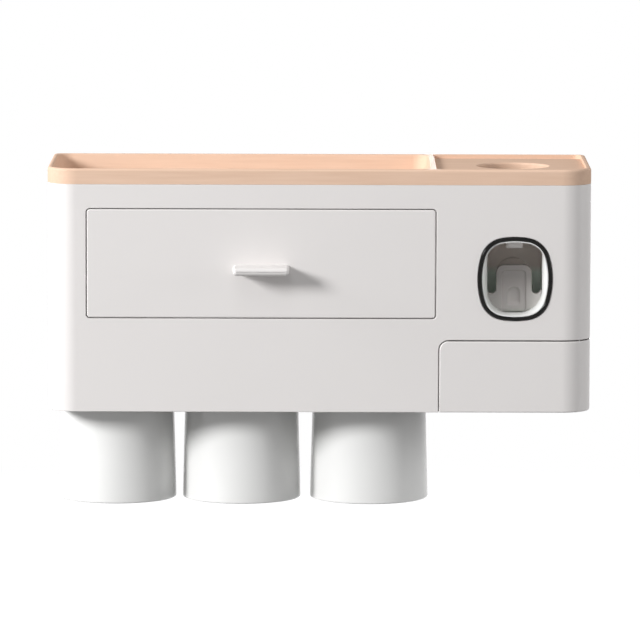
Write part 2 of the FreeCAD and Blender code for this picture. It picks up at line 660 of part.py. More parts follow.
# Cups: drafted tumblers that hang mouth down; local origin at the middle of the base
BASE_RADIUS = "(dims.cup_mouth_radius - dims.cup_draft)"
for label, cup_x in zip(("left", "middle", "right"), CUP_XS):
    cup = new_body(f"cup_{label}")
    profile = sketch(cup, f"cup_{label}_profile", "XZ_Plane")
    outline(profile, [
        ("0", "-dims.keeper_thickness"),
        ("dims.keeper_radius + dims.fit_gap", "-dims.keeper_thickness"),
        ("dims.keeper_radius + dims.fit_gap", "0"),
        (BASE_RADIUS, "0", "dims.cup_base_edge"),
        ("dims.cup_mouth_radius", "-dims.cup_height", "dims.cup_lip_edge"),
        ("dims.cup_mouth_radius - dims.cup_wall", "-dims.cup_height", "dims.cup_lip_edge"),
        (f"{BASE_RADIUS} - dims.cup_wall", "-dims.cup_base", "dims.cup_base_edge - dims.cup_lip_edge"),
        ("0", "-dims.cup_base"),
    ])
    revolve(cup, profile)
    node(cup, f"cup_{label}", cup_x, "-dims.cup_depth", f"{CUP_TOP} - dims.mount_height")
    keeper = cylinder(f"keeper_{label}_disc", "dims.keeper_radius", "dims.keeper_thickness", "0", "0", "0")
    node(keeper, f"keeper_{label}", cup_x, "-dims.cup_depth",
         f"{CUP_TOP} - dims.keeper_thickness - dims.mount_height")

# Drawer: panel flush with the case front, open box behind it, and a bar handle
PANEL_BACK = "(dims.case_front - dims.drawer_panel)"
BOX_LEFT = f"({GUIDE_RIGHT} + dims.run_gap)"
BOX_RIGHT = f"({PARTITION_LEFT} - dims.run_gap)"
BOX_BOTTOM = "(dims.skirt_height + dims.run_gap)"
BOX_TOP = f"({DRAWER_TOP} - dims.drawer_box_drop)"
BOX_BACK = f"({BACK_FRONT} + dims.drawer_back_room)"
HANDLE_Z = "(dims.skirt_height + dims.drawer_height / 2 - dims.handle_drop)"
HANDLE_SCREWS = [(f"({DRAWER_MIDDLE} {side} dims.handle_length / 3)", HANDLE_Z) for side in "-+"]
PANEL_SCREWS = [
    (f"({BOX_LEFT} + dims.panel_screw_inset)", HANDLE_Z),
    (f"({BOX_RIGHT} - dims.panel_screw_inset)", HANDLE_Z),
]

panel = new_body("drawer_front")
panel_face = sketch(panel, "panel_face", "XZ_Plane", PANEL_BACK)
rectangle(panel_face, f"{DRAWER_LEFT} + dims.drawer_seam", f"{DRAWER_RIGHT} - dims.drawer_seam",
          "dims.skirt_height + dims.drawer_seam", f"{DRAWER_TOP} - dims.drawer_seam",
          "dims.drawer_corner - dims.drawer_seam")
pad(panel, panel_face, "dims.drawer_panel")
panel_holes = sketch(panel, "panel_holes", "XZ_Plane", PANEL_BACK)
for screw_x, screw_z in HANDLE_SCREWS:
    circle(panel_holes, screw_x, screw_z, SCREW_HOLE)
pocket(panel, panel_holes, "dims.drawer_panel", reverse=True)
panel_pilots = sketch(panel, "panel_pilots", "XZ_Plane", PANEL_BACK)
for screw_x, screw_z in PANEL_SCREWS:
    circle(panel_pilots, screw_x, screw_z, SCREW_HOLE)
pocket(panel, panel_pilots, "dims.panel_screw_depth + dims.fit_gap", reverse=True)
node(panel, "drawer_front")

box = new_body("drawer_box")
box_plan = sketch(box, "box_plan", "XY_Plane", BOX_BOTTOM)
outline(box_plan, [
    (BOX_LEFT, f"-{PANEL_BACK}"),
    (BOX_RIGHT, f"-{PANEL_BACK}"),
    (BOX_RIGHT, f"-{BOX_BACK}", "dims.drawer_box_corner"),
    (BOX_LEFT, f"-{BOX_BACK}", "dims.drawer_box_corner"),
])
pad(box, box_plan, f"{BOX_TOP} - {BOX_BOTTOM}")
box_inside = sketch(box, "box_inside", "XY_Plane", BOX_TOP)
rectangle(box_inside, f"{BOX_LEFT} + dims.drawer_wall", f"{BOX_RIGHT} - dims.drawer_wall",
          f"dims.drawer_wall - {PANEL_BACK}", f"-{BOX_BACK} - dims.drawer_wall",
          "dims.drawer_box_corner - dims.drawer_wall")
pocket(box, box_inside, f"{BOX_TOP} - {BOX_BOTTOM} - dims.drawer_floor")
box_holes = sketch(box, "box_holes", "XZ_Plane", PANEL_BACK)
for screw_x, screw_z in HANDLE_SCREWS + PANEL_SCREWS:
    circle(box_holes, screw_x, screw_z, SCREW_HOLE)
pocket(box, box_holes, "2 * dims.drawer_wall")
node(box, "drawer_box")

handle = new_body("drawer_handle")
handle_face = sketch(handle, "handle_face", "XZ_Plane", "dims.case_front", DRAWER_MIDDLE, HANDLE_Z)
rectangle(handle_face, "-dims.handle_length / 2", "dims.handle_length / 2", "-dims.handle_height / 2",
          "dims.handle_height / 2", "dims.handle_edge")
handle_bar = pad(handle, handle_face, "dims.handle_reach")
handle_front = -dims.evalExpression("case_front + handle_reach")
fillet(handle, handle_bar, "dims.handle_front_edge", lambda p: near(p.y, handle_front))
handle_pilots = sketch(handle, "handle_pilots", "XZ_Plane", "dims.case_front")
for screw_x, screw_z in HANDLE_SCREWS:
    circle(handle_pilots, screw_x, screw_z, SCREW_HOLE)
pocket(handle, handle_pilots, "dims.screw_length", reverse=True)
node(handle, "drawer_handle")
BOX_FACE = f"dims.drawer_wall - {PANEL_BACK}"
node(group("handle_screws", [
    screw(f"handle_screw_{number}", screw_x, BOX_FACE, screw_z, ALONG_DEPTH, "dims.screw_length")
    for number, (screw_x, screw_z) in enumerate(HANDLE_SCREWS, start=1)]), "handle_screws")
node(group("drawer_screws", [
    screw(f"drawer_screw_{number}", screw_x, BOX_FACE, screw_z, ALONG_DEPTH,
          "dims.drawer_wall + dims.panel_screw_depth")
    for number, (screw_x, screw_z) in enumerate(PANEL_SCREWS, start=1)]), "drawer_screws")

# Back panel: closes the case, hangs on the bracket's hooks through two slots
HOOK_TOP = "(dims.hook_metal - dims.hook_drop)"
SLOT_TOP = f"(dims.mount_height + {HOOK_TOP} + dims.fit_gap)"
SLOT_BOTTOM = f"({SLOT_TOP} - dims.hook_lip - dims.hook_metal - 2 * dims.run_gap)"
RACK_LEFT = f"({PARTITION_RIGHT} + dims.rack_side_gap)"
RACK_RIGHT = f"({INNER_HALF} - dims.rack_side_gap)"
RACK_MIDDLE = f"(({RACK_LEFT} + {RACK_RIGHT}) / 2)"
RACK_SCREWS = [(f"({RACK_MIDDLE} {side} dims.rack_slot_pitch)", "dims.rack_height + dims.rack_upstand / 2")
               for side in "-+"]

back = new_body("back_panel")
back_face = sketch(back, "back_face", "XZ_Plane", "dims.back_inset")
rectangle(back_face, f"dims.run_gap - {INNER_HALF}", f"{INNER_HALF} - dims.run_gap", "dims.run_gap",
          f"{PLUG_BOTTOM} - dims.fit_gap", "dims.rear_radius")
pad(back, back_face, "dims.back_thickness")
back_slots = sketch(back, "back_slots", "XZ_Plane", "dims.back_inset")
for side in "-+":
    rectangle(back_slots, f"{side}dims.hook_spacing / 2 - dims.hook_width / 2 - dims.run_gap",
              f"{side}dims.hook_spacing / 2 + dims.hook_width / 2 + dims.run_gap", SLOT_BOTTOM, SLOT_TOP)
pocket(back, back_slots, "dims.back_thickness", reverse=True)
back_holes = sketch(back, "back_holes", "XZ_Plane", "dims.back_inset")
for screw_x, screw_z in BOSS_PLACES + RACK_SCREWS:
    circle(back_holes, screw_x, screw_z, SCREW_HOLE)
pocket(back, back_holes, "dims.back_thickness", reverse=True)
node(back, "back_panel")
node(group("back_panel_screws", [
    screw(f"back_screw_{number}", screw_x, "-dims.back_inset", screw_z, ALONG_DEPTH, "dims.screw_length")
    for number, (screw_x, screw_z) in enumerate(BOSS_PLACES, start=1)]), "back_panel_screws")

# Wall bracket: plate with two upturned hooks and two screw holes, on an adhesive pad
LIP_REAR = f"({BACK_FRONT} + dims.fit_gap)"

bracket = new_body("wall_bracket")
plate = sketch(bracket, "bracket_plate", "XZ_Plane", "dims.wall_gap")
rectangle(plate, "-dims.bracket_width / 2", "dims.bracket_width / 2", "-dims.bracket_height / 2",
          "dims.bracket_height / 2", "dims.bracket_corner")
pad(bracket, plate, "dims.bracket_thickness")
for side, sign in (("left", "-"), ("right", "")):
    hook = sketch(bracket, f"hook_{side}", "YZ_Plane", f"{sign}dims.hook_spacing / 2 - dims.hook_width / 2")
    outline(hook, [
        ("-dims.wall_gap - dims.bracket_thickness / 2", "-dims.hook_drop"),
        (f"-{LIP_REAR} - dims.hook_metal", "-dims.hook_drop"),
        (f"-{LIP_REAR} - dims.hook_metal", f"{HOOK_TOP} + dims.hook_lip"),
        (f"-{LIP_REAR}", f"{HOOK_TOP} + dims.hook_lip"),
        (f"-{LIP_REAR}", HOOK_TOP),
        ("-dims.wall_gap - dims.bracket_thickness / 2", HOOK_TOP),
    ])
    pad(bracket, hook, "dims.hook_width")
plate_holes = sketch(bracket, "bracket_holes", "XZ_Plane", "dims.wall_gap")
for side in "-+":
    circle(plate_holes, f"{side}dims.bracket_hole_spacing / 2", "0", "dims.bracket_hole_radius")
pocket(bracket, plate_holes, "dims.bracket_thickness", reverse=True)
node(bracket, "wall_bracket", z="0")

PAD_WIDTH = "(dims.bracket_hole_spacing - 2 * dims.pad_hole_room)"
tape = doc.addObject("Part::Box", "adhesive_tape")
tape.setExpression("Length", PAD_WIDTH)
tape.setExpression("Width", "dims.wall_gap")
tape.setExpression("Height", "dims.pad_height")
node(tape, "adhesive_pad", f"-{PAD_WIDTH} / 2", "-dims.wall_gap", "-dims.pad_height / 2")

# Brush flap: front panel that wraps round the corner, hung on two goose-neck arms
COVER_EDGE = f"({COVER_LEFT} + dims.cover_seam)"
COVER_TOP = f"({COVER_SEAM_Z} - dims.cover_seam / 2)"
COVER_IN_FRONT = "(dims.case_front - dims.cover_wall)"
COVER_IN_HALF = f"({CASE_HALF} - dims.cover_wall)"
SIDE_BACK = "(dims.case_front - dims.cover_side_depth)"
CLEAR = "dims.case_wall"

cover = new_body("brush_cover")
cover_plan = sketch(cover, "cover_plan", "XY_Plane")
outline(cover_plan, [
    (COVER_EDGE, "-dims.case_front"),
    (CASE_HALF, "-dims.case_front", "dims.corner_radius"),
    (CASE_HALF, f"-{SIDE_BACK}"),
    (COVER_IN_HALF, f"-{SIDE_BACK}"),
    (COVER_IN_HALF, f"-{COVER_IN_FRONT}", "dims.corner_radius - dims.cover_wall"),
    (COVER_EDGE, f"-{COVER_IN_FRONT}"),
])
pad(cover, cover_plan, COVER_TOP)
cover_trim = sketch(cover, "cover_trim", "XZ_Plane", "dims.case_front")
rectangle(cover_trim, f"{COVER_EDGE} - {CLEAR}", f"{CASE_HALF} + 2 * {CLEAR}", f"-2 * {CLEAR}",
          f"{COVER_TOP} + {CLEAR}")
outline(cover_trim, [
    (COVER_EDGE, f"-{CLEAR}"),
    (f"{CASE_HALF} + {CLEAR}", f"-{CLEAR}"),
    (f"{CASE_HALF} + {CLEAR}", COVER_TOP),
    (COVER_EDGE, COVER_TOP, "dims.cover_corner - dims.cover_seam"),
])
trimmed = pocket(cover, cover_trim, "dims.corner_radius")
cover_top = dims.evalExpression(COVER_TOP)
corner_low = dims.evalExpression(f"{COVER_TOP} - dims.cover_corner")
cover_in_front = -dims.evalExpression(COVER_IN_FRONT)
cover_in_half = dims.evalExpression(COVER_IN_HALF)
bevel = cover.newObject("PartDesign::Chamfer", "cover_bevel")
bevel.Base = (trimmed, edges_where(trimmed, lambda p: (near(p.y, cover_in_front) and p.z > corner_low)
                                   or (near(p.x, cover_in_half) and near(p.z, cover_top))))
bevel.setExpression("Size", "dims.cover_edge_bevel")
ARM_ROOT = "(dims.cover_wall / 2 - dims.case_front)"
ARM_REAR = f"(dims.hinge_arm_offset - {HINGE_DEPTH})"
HALF_ARM = "dims.hinge_arm_depth / 2"
for side, arm_left in zip(("left", "right"), ARM_LEFTS):
    arm = sketch(cover, f"arm_{side}", "YZ_Plane", arm_left)
    outline(arm, [
        (f"-{HINGE_DEPTH}", f"{HINGE_Z} + {HALF_ARM}"),
        (f"{ARM_REAR} + {HALF_ARM}", f"{HINGE_Z} + {HALF_ARM}", "dims.hinge_arm_depth"),
        (f"{ARM_REAR} + {HALF_ARM}", f"{HINGE_Z} - dims.hinge_arm_drop - {HALF_ARM}", "dims.hinge_arm_depth"),
        (ARM_ROOT, f"{HINGE_Z} - dims.hinge_arm_drop - {HALF_ARM}"),
        (ARM_ROOT, f"{HINGE_Z} - dims.hinge_arm_drop + {HALF_ARM}"),
        (f"{ARM_REAR} - {HALF_ARM}", f"{HINGE_Z} - dims.hinge_arm_drop + {HALF_ARM}"),
        (f"{ARM_REAR} - {HALF_ARM}", f"{HINGE_Z} - {HALF_ARM}"),
        (f"-{HINGE_DEPTH}", f"{HINGE_Z} - {HALF_ARM}"),
    ])
    pad(cover, arm, "dims.hinge_arm_width")
    eye = sketch(cover, f"eye_{side}", "YZ_Plane", arm_left)
    circle(eye, f"-{HINGE_DEPTH}", HINGE_Z, "dims.hinge_eye_radius")
    pad(cover, eye, "dims.hinge_arm_width")
    eye_bore = sketch(cover, f"eye_bore_{side}", "YZ_Plane", arm_left)
    circle(eye_bore, f"-{HINGE_DEPTH}", HINGE_Z, "dims.hinge_pin_radius + dims.hinge_fit")
    pocket(cover, eye_bore, "dims.hinge_arm_width", reverse=True)
node(cover, "brush_cover")
node(group("cover_hinge_pins", [
    cylinder(f"hinge_pin_{side}", "dims.hinge_pin_radius", f"dims.hinge_arm_width + 2 * {LUG_STEP}",
             f"{arm_left} - {LUG_STEP}", f"-{HINGE_DEPTH}", HINGE_Z, ALONG_WIDTH)
    for side, arm_left in zip(("left", "right"), ARM_LEFTS)]), "cover_hinge_pins")

# Brush rack: comb that toothbrush necks hang in, screwed to the back panel
RACK_BACK = f"({BACK_FRONT} + dims.fit_gap)"
RACK_FRONT = f"({INNER_FRONT} - dims.rack_front_room)"

rack = new_body("brush_rack")
rack_plan = sketch(rack, "rack_plan", "XY_Plane", "dims.rack_height")
rectangle(rack_plan, RACK_LEFT, RACK_RIGHT, f"-{RACK_FRONT}", f"-{RACK_BACK}")
pad(rack, rack_plan, "dims.rack_thickness")
rack_wall = sketch(rack, "rack_wall", "XY_Plane", "dims.rack_height")
rectangle(rack_wall, RACK_LEFT, RACK_RIGHT, f"-{RACK_BACK} - dims.rack_thickness", f"-{RACK_BACK}")
pad(rack, rack_wall, "dims.rack_upstand")
rack_slots = sketch(rack, "rack_slots", "XY_Plane", "dims.rack_height")
SLOT_ROUND = "dims.rack_slot_width / 2 - dims.fit_gap"
for step in (-1.5, -0.5, 0.5, 1.5):
    slot_left = f"{RACK_MIDDLE} + {step} * dims.rack_slot_pitch - dims.rack_slot_width / 2"
    outline(rack_slots, [
        (slot_left, f"-{RACK_FRONT} - {CLEAR}"),
        (f"{slot_left} + dims.rack_slot_width", f"-{RACK_FRONT} - {CLEAR}"),
        (f"{slot_left} + dims.rack_slot_width", f"dims.rack_slot_length - {RACK_FRONT}", SLOT_ROUND),
        (slot_left, f"dims.rack_slot_length - {RACK_FRONT}", SLOT_ROUND),
    ])
pocket(rack, rack_slots, "dims.rack_thickness", reverse=True)
rack_holes = sketch(rack, "rack_holes", "XZ_Plane", RACK_BACK)
for screw_x, screw_z in RACK_SCREWS:
    circle(rack_holes, screw_x, screw_z, SCREW_HOLE)
pocket(rack, rack_holes, "dims.rack_thickness", reverse=True)
node(rack, "brush_rack")
node(group("brush_rack_screws", [
    screw(f"rack_screw_{number}", screw_x, "-dims.back_inset", screw_z, ALONG_DEPTH,
          "dims.back_thickness + dims.rack_thickness")
    for number, (screw_x, screw_z) in enumerate(RACK_SCREWS, start=1)]), "brush_rack_screws")

# Window: glossy ring in the case front, and a white funnel that leads back to the pump


def shrunk(sizes, by):
    return [f"({size} - {by})" for size in sizes]


RING_OUT = [
    "dims.window_half_width", "dims.window_half_height",
    "dims.window_side_radius", "dims.window_corner_radius"]
RING_IN = shrunk(RING_OUT, "dims.bezel_band")
SLEEVE_OUT = shrunk(RING_IN, "dims.fit_gap")
SLEEVE_MOUTH = shrunk(SLEEVE_OUT, "dims.liner_mouth_wall")
THROAT = [
    "dims.throat_half_width", "dims.throat_half_height",
    "dims.throat_side_radius", "dims.throat_corner_radius"]
LINER_BACK = "(dims.case_front - dims.liner_depth)"

bezel = new_body("window_bezel")
ring = sketch(bezel, "bezel_ring", "XZ_Plane", INNER_FRONT, WINDOW_X, WINDOW_Z)
squircle(ring, *RING_OUT)
squircle(ring, *RING_IN)
ring_pad = pad(bezel, ring, "dims.case_wall + dims.bezel_proud")
ring_front = -dims.evalExpression("case_front + bezel_proud")
fillet(bezel, ring_pad, "dims.bezel_edge", lambda p: near(p.y, ring_front))
node(bezel, "window_bezel")

liner = new_body("window_liner")
sleeve = sketch(liner, "liner_sleeve", "XZ_Plane", LINER_BACK, WINDOW_X, WINDOW_Z)
squircle(sleeve, *SLEEVE_OUT)
pad(liner, sleeve, "dims.liner_depth")
mouth = sketch(liner, "liner_mouth", "XZ_Plane", "dims.case_front", WINDOW_X, WINDOW_Z)
squircle(mouth, *SLEEVE_MOUTH)
throat = sketch(liner, "liner_throat", "XZ_Plane", LINER_BACK, WINDOW_X, WINDOW_Z)
squircle(throat, *THROAT)
funnel = liner.newObject("PartDesign::SubtractiveLoft", "liner_funnel")
funnel.Profile = mouth
funnel.Sections = [throat]
funnel.Ruled = True
node(liner, "window_liner")

# Pump body: block behind the window with the lever's cavity, the piston's bore and the tube seat
PUMP_FRONT = f"({LINER_BACK} - dims.fit_gap)"
PUMP_REAR = f"({BACK_FRONT} + dims.pump_rear_room + dims.pump_cover_thickness)"
CAVITY_BACK = "(dims.case_front - dims.cavity_depth)"
CAVITY_HALF = "(dims.throat_half_width + dims.run_gap)"
PUMP_HALF = f"({CAVITY_HALF} + dims.pump_wall)"
PUMP_BOTTOM = "(dims.skirt_height + dims.fit_gap)"
CAVITY_BOTTOM = f"({PUMP_BOTTOM} + dims.pump_floor)"
CAVITY_TOP = f"({WINDOW_Z} + dims.throat_half_height + dims.run_gap)"
PUMP_TOP = f"({CAVITY_TOP} + dims.pump_roof)"
PIVOT_Z = f"({CAVITY_BOTTOM} + dims.lever_thickness / 2 + dims.run_gap)"
PIVOT_DEPTH = "(dims.case_front - dims.lever_setback)"
PISTON_Z = f"({PIVOT_Z} + dims.piston_rise)"
PUMP_FACE = [f"{WINDOW_X} - {PUMP_HALF}", f"{WINDOW_X} + {PUMP_HALF}", PUMP_BOTTOM, PUMP_TOP]
COVER_SCREWS = [(f"({WINDOW_X} {side} ({PUMP_HALF} - dims.boss_radius))", height) for side in "-+"
                for height in (f"({PUMP_BOTTOM} + dims.boss_radius)", f"({PUMP_TOP} - dims.boss_radius)")]

pump = new_body("pump_body")
block = sketch(pump, "pump_block", "XZ_Plane", PUMP_REAR)
rectangle(block, *PUMP_FACE, "dims.drawer_corner")
pad(pump, block, f"{PUMP_FRONT} - {PUMP_REAR}")
cavity = sketch(pump, "pump_cavity", "XZ_Plane", PUMP_FRONT)
outline(cavity, [
    (f"{WINDOW_X} - {CAVITY_HALF}", CAVITY_BOTTOM),
    (f"{WINDOW_X} + {CAVITY_HALF}", CAVITY_BOTTOM),
    (f"{WINDOW_X} + {CAVITY_HALF}", CAVITY_TOP, "dims.cavity_corner"),
    (f"{WINDOW_X} - {CAVITY_HALF}", CAVITY_TOP, "dims.cavity_corner"),
])
pocket(pump, cavity, f"{PUMP_FRONT} - {CAVITY_BACK}")
barrel = sketch(pump, "pump_barrel", "XZ_Plane", PUMP_REAR)
circle(barrel, WINDOW_X, PISTON_Z, "dims.bore_radius")
pocket(pump, barrel, f"{CAVITY_BACK} - {PUMP_REAR}", reverse=True)
for name, radius, depth in (
        ("seal_seat", "dims.seal_radius + dims.fit_gap", "dims.seal_seat"),
        ("valve_seat", "dims.valve_radius + dims.fit_gap", "dims.seal_seat + dims.valve_height"),
        ("inlet", "dims.inlet_radius", f"{PUMP_TOP} - {PISTON_Z}")):
    seat = sketch(pump, f"pump_{name}", "XY_Plane", PUMP_TOP)
    circle(seat, WINDOW_X, "-dims.tube_depth", radius)
    pocket(pump, seat, depth)
pin_holes = sketch(pump, "pump_pin_holes", "YZ_Plane", f"{WINDOW_X} - {PUMP_HALF}")
circle(pin_holes, f"-{PIVOT_DEPTH}", PIVOT_Z, "dims.lever_pin_radius + dims.hinge_fit")
pocket(pump, pin_holes, f"2 * {PUMP_HALF}", reverse=True)
pump_pilots = sketch(pump, "pump_pilots", "XY_Plane", PUMP_BOTTOM)
for screw_x, screw_y in PUMP_SCREWS:
    circle(pump_pilots, screw_x, screw_y, SCREW_HOLE)
pocket(pump, pump_pilots, "dims.screw_length", reverse=True)
rear_pilots = sketch(pump, "pump_rear_pilots", "XZ_Plane", PUMP_REAR)
for screw_x, screw_z in COVER_SCREWS:
    circle(rear_pilots, screw_x, screw_z, SCREW_HOLE)
pocket(pump, rear_pilots, "dims.screw_length", reverse=True)
node(pump, "pump_body")
node(group("pump_screws", [
    screw(f"pump_screw_{number}", screw_x, screw_y, SHELF_BOTTOM, UPRIGHT, "dims.screw_length")
    for number, (screw_x, screw_y) in enumerate(PUMP_SCREWS, start=1)]), "pump_screws")

lid = new_body("pump_cover")
lid_face = sketch(lid, "lid_face", "XZ_Plane", f"{PUMP_REAR} - dims.pump_cover_thickness")
rectangle(lid_face, *PUMP_FACE, "dims.drawer_corner")
pad(lid, lid_face, "dims.pump_cover_thickness")
lid_holes = sketch(lid, "lid_holes", "XZ_Plane", PUMP_REAR)
for screw_x, screw_z in COVER_SCREWS:
    circle(lid_holes, screw_x, screw_z, SCREW_HOLE)
pocket(lid, lid_holes, "dims.pump_cover_thickness")
node(lid, "pump_cover")
node(group("pump_cover_screws", [
    screw(f"lid_screw_{number}", screw_x, f"dims.pump_cover_thickness - {PUMP_REAR}", screw_z, ALONG_DEPTH,
          "dims.screw_length")
    for number, (screw_x, screw_z) in enumerate(COVER_SCREWS, start=1)]), "pump_cover_screws")

# Tube seal and inlet valve: silicone rings on top of the pump, in line with the tray's hole
seal = new_body("tube_seal")
seal_profile = sketch(seal, "seal_profile", "XZ_Plane")
outline(seal_profile, [
    ("dims.seal_bore_radius - dims.bellows_skin", "0"),
    ("dims.seal_radius", "0"),
    ("dims.seal_radius", "dims.seal_height", "dims.bellows_skin"),
    ("dims.seal_bore_radius + 2 * dims.bellows_skin", "dims.seal_height"),
])
revolve(seal, seal_profile)
node(seal, "tube_seal", WINDOW_X, "-dims.tube_depth", f"{PUMP_TOP} - dims.seal_seat - dims.mount_height")
valve = new_body("inlet_valve")
valve_profile = sketch(valve, "valve_profile", "XZ_Plane")
outline(valve_profile, [
    ("dims.inlet_radius / 2", "0"), ("dims.valve_radius", "0"),
    ("dims.valve_radius", "dims.valve_height"), ("dims.inlet_radius / 2", "dims.valve_height / 2")])
revolve(valve, valve_profile)
node(valve, "inlet_valve", WINDOW_X, "-dims.tube_depth",
     f"{PUMP_TOP} - dims.seal_seat - dims.valve_height - dims.mount_height")

# Paste nozzle: flat outlet under the cavity's roof
nozzle = new_body("paste_nozzle")
NOZZLE_TOP = f"({CAVITY_TOP} - dims.fit_gap)"
nozzle_plan = sketch(nozzle, "nozzle_plan", "XY_Plane", f"{NOZZLE_TOP} - dims.nozzle_height", WINDOW_X,
                     "dims.nozzle_setback + dims.nozzle_depth / 2 - dims.case_front")
rectangle(nozzle_plan, "-dims.nozzle_half_width", "dims.nozzle_half_width", "-dims.nozzle_depth / 2",
          "dims.nozzle_depth / 2", "dims.bellows_fold")
pad(nozzle, nozzle_plan, "dims.nozzle_height")
nozzle_bore = sketch(nozzle, "nozzle_bore", "XY_Plane", NOZZLE_TOP, WINDOW_X,
                     "dims.nozzle_setback + dims.nozzle_depth / 2 - dims.case_front")
circle(nozzle_bore, "0", "0", "dims.nozzle_bore_radius")
pocket(nozzle, nozzle_bore, "dims.nozzle_height")
node(nozzle, "paste_nozzle")

# Push lever: arched paddle between two slots, hinged on a pin across the foot of the cavity
LEVER_HALF = "(dims.throat_half_width - dims.run_gap)"
LEVER_FRONT = f"({PIVOT_DEPTH} + dims.lever_thickness / 2)"
LEVER_REAR = f"({PIVOT_DEPTH} - dims.lever_thickness / 2)"
SLOT_HALF = f"(({LEVER_HALF} - dims.lever_half_width) / 2)"

lever = new_body("push_lever")
lever_face = sketch(lever, "lever_face", "XZ_Plane", LEVER_REAR, WINDOW_X, PIVOT_Z)
HORN = f"(dims.lever_base_height + {SLOT_HALF})"
outline(lever_face, [
    (f"-{LEVER_HALF}", "0"),
    (LEVER_HALF, "0"),
    (LEVER_HALF, HORN),
    (f"{LEVER_HALF} - dims.fit_gap", HORN),
    (f"{LEVER_HALF} - dims.fit_gap", "dims.lever_base_height", f"{SLOT_HALF} - dims.fit_gap"),
    ("dims.lever_half_width", "dims.lever_base_height", f"{SLOT_HALF} - dims.fit_gap"),
    ("dims.lever_half_width", "dims.lever_height", "dims.lever_corner"),
    ("-dims.lever_half_width", "dims.lever_height", "dims.lever_corner"),
    ("-dims.lever_half_width", "dims.lever_base_height", f"{SLOT_HALF} - dims.fit_gap"),
    (f"dims.fit_gap - {LEVER_HALF}", "dims.lever_base_height", f"{SLOT_HALF} - dims.fit_gap"),
    (f"dims.fit_gap - {LEVER_HALF}", HORN),
    (f"-{LEVER_HALF}", HORN),
])
pad(lever, lever_face, "dims.lever_thickness")
foot = sketch(lever, "lever_foot", "YZ_Plane", f"{WINDOW_X} - {LEVER_HALF}")
circle(foot, f"-{PIVOT_DEPTH}", PIVOT_Z, "dims.lever_thickness / 2")
pad(lever, foot, f"2 * {LEVER_HALF}")
recess = sketch(lever, "lever_recess", "XZ_Plane", LEVER_FRONT, WINDOW_X, PIVOT_Z)
INSET_HALF = "(dims.lever_half_width - dims.lever_inset)"
outline(recess, [
    (f"-{INSET_HALF}", "0"),
    (INSET_HALF, "0"),
    (INSET_HALF, "dims.lever_height - dims.lever_inset", "dims.lever_corner - dims.lever_inset"),
    (f"-{INSET_HALF}", "dims.lever_height - dims.lever_inset", "dims.lever_corner - dims.lever_inset"),
])
pocket(lever, recess, "dims.lever_recess")
scoop = sketch(lever, "lever_scoop", "XZ_Plane", LEVER_FRONT, WINDOW_X, PIVOT_Z)
SCOOP_ROUND = "dims.lever_scoop_half_width - dims.fit_gap"
outline(scoop, [
    ("-dims.lever_scoop_half_width", "dims.lever_thickness / 2"),
    ("dims.lever_scoop_half_width", "dims.lever_thickness / 2"),
    ("dims.lever_scoop_half_width", "dims.lever_scoop_height", SCOOP_ROUND),
    ("-dims.lever_scoop_half_width", "dims.lever_scoop_height", SCOOP_ROUND),
])
pocket(lever, scoop, "dims.lever_scoop")
lever_bore = sketch(lever, "lever_bore", "YZ_Plane", f"{WINDOW_X} - {LEVER_HALF}")
circle(lever_bore, f"-{PIVOT_DEPTH}", PIVOT_Z, "dims.lever_pin_radius + dims.hinge_fit")
pocket(lever, lever_bore, f"2 * {LEVER_HALF}", reverse=True)
node(lever, "push_lever")
pin = cylinder("lever_pin_rod", "dims.lever_pin_radius", f"2 * {PUMP_HALF} - 2 * dims.fit_gap", "0", "0", "0",
               ALONG_WIDTH)
node(pin, "lever_pin", f"{WINDOW_X} - {PUMP_HALF} + dims.fit_gap", f"-{PIVOT_DEPTH}",
     f"{PIVOT_Z} - dims.mount_height")

# Piston with its ring seal, and the silicone bellows behind it; their local Z points to the front
PISTON_LENGTH = "(dims.piston_rod_length + dims.piston_disc)"
PISTON_REAR = f"({LEVER_REAR} - dims.run_gap - {PISTON_LENGTH})"
GROOVE_RADIUS = "(dims.piston_disc_radius - dims.piston_groove)"
GROOVE_LOW = "((dims.piston_disc - dims.piston_seal_width) / 2)"
GROOVE_HIGH = "((dims.piston_disc + dims.piston_seal_width) / 2)"
BELLOWS_LENGTH = f"({PISTON_REAR} - {PUMP_REAR} - 2 * dims.fit_gap)"
BELLOWS_FOLDS = 6


def turned(label, corners, depth):
    made = new_body(label)
    profile = sketch(made, label + "_profile", "XZ_Plane")
    outline(profile, corners)
    revolve(made, profile)
    made.Placement = FreeCAD.Placement(FreeCAD.Vector(), ALONG_DEPTH)
    node(made, label, WINDOW_X, f"-{depth}", f"{PISTON_Z} - dims.mount_height")


turned("piston", [
    ("0", "0"),
    ("dims.piston_disc_radius", "0"),
    ("dims.piston_disc_radius", GROOVE_LOW),
    (GROOVE_RADIUS, GROOVE_LOW),
    (GROOVE_RADIUS, GROOVE_HIGH),
    ("dims.piston_disc_radius", GROOVE_HIGH),
    ("dims.piston_disc_radius", "dims.piston_disc"),
    ("dims.piston_rod_radius", "dims.piston_disc"),
    ("dims.piston_rod_radius", PISTON_LENGTH, "dims.piston_nose_radius"),
    ("0", PISTON_LENGTH),
], PISTON_REAR)
turned("piston_seal", [
    (f"{GROOVE_RADIUS} + dims.hinge_fit", f"{GROOVE_LOW} + dims.hinge_fit"),
    ("dims.piston_seal_radius", f"{GROOVE_LOW} + dims.hinge_fit"),
    ("dims.piston_seal_radius", f"{GROOVE_HIGH} - dims.hinge_fit"),
    (f"{GROOVE_RADIUS} + dims.hinge_fit", f"{GROOVE_HIGH} - dims.hinge_fit"),
], PISTON_REAR)
ridge = ["dims.bellows_radius", "dims.bellows_radius - dims.bellows_fold"]
outer_side = [(ridge[step % 2], f"{BELLOWS_LENGTH} * {step} / {2 * BELLOWS_FOLDS}")
              for step in range(2 * BELLOWS_FOLDS + 1)]
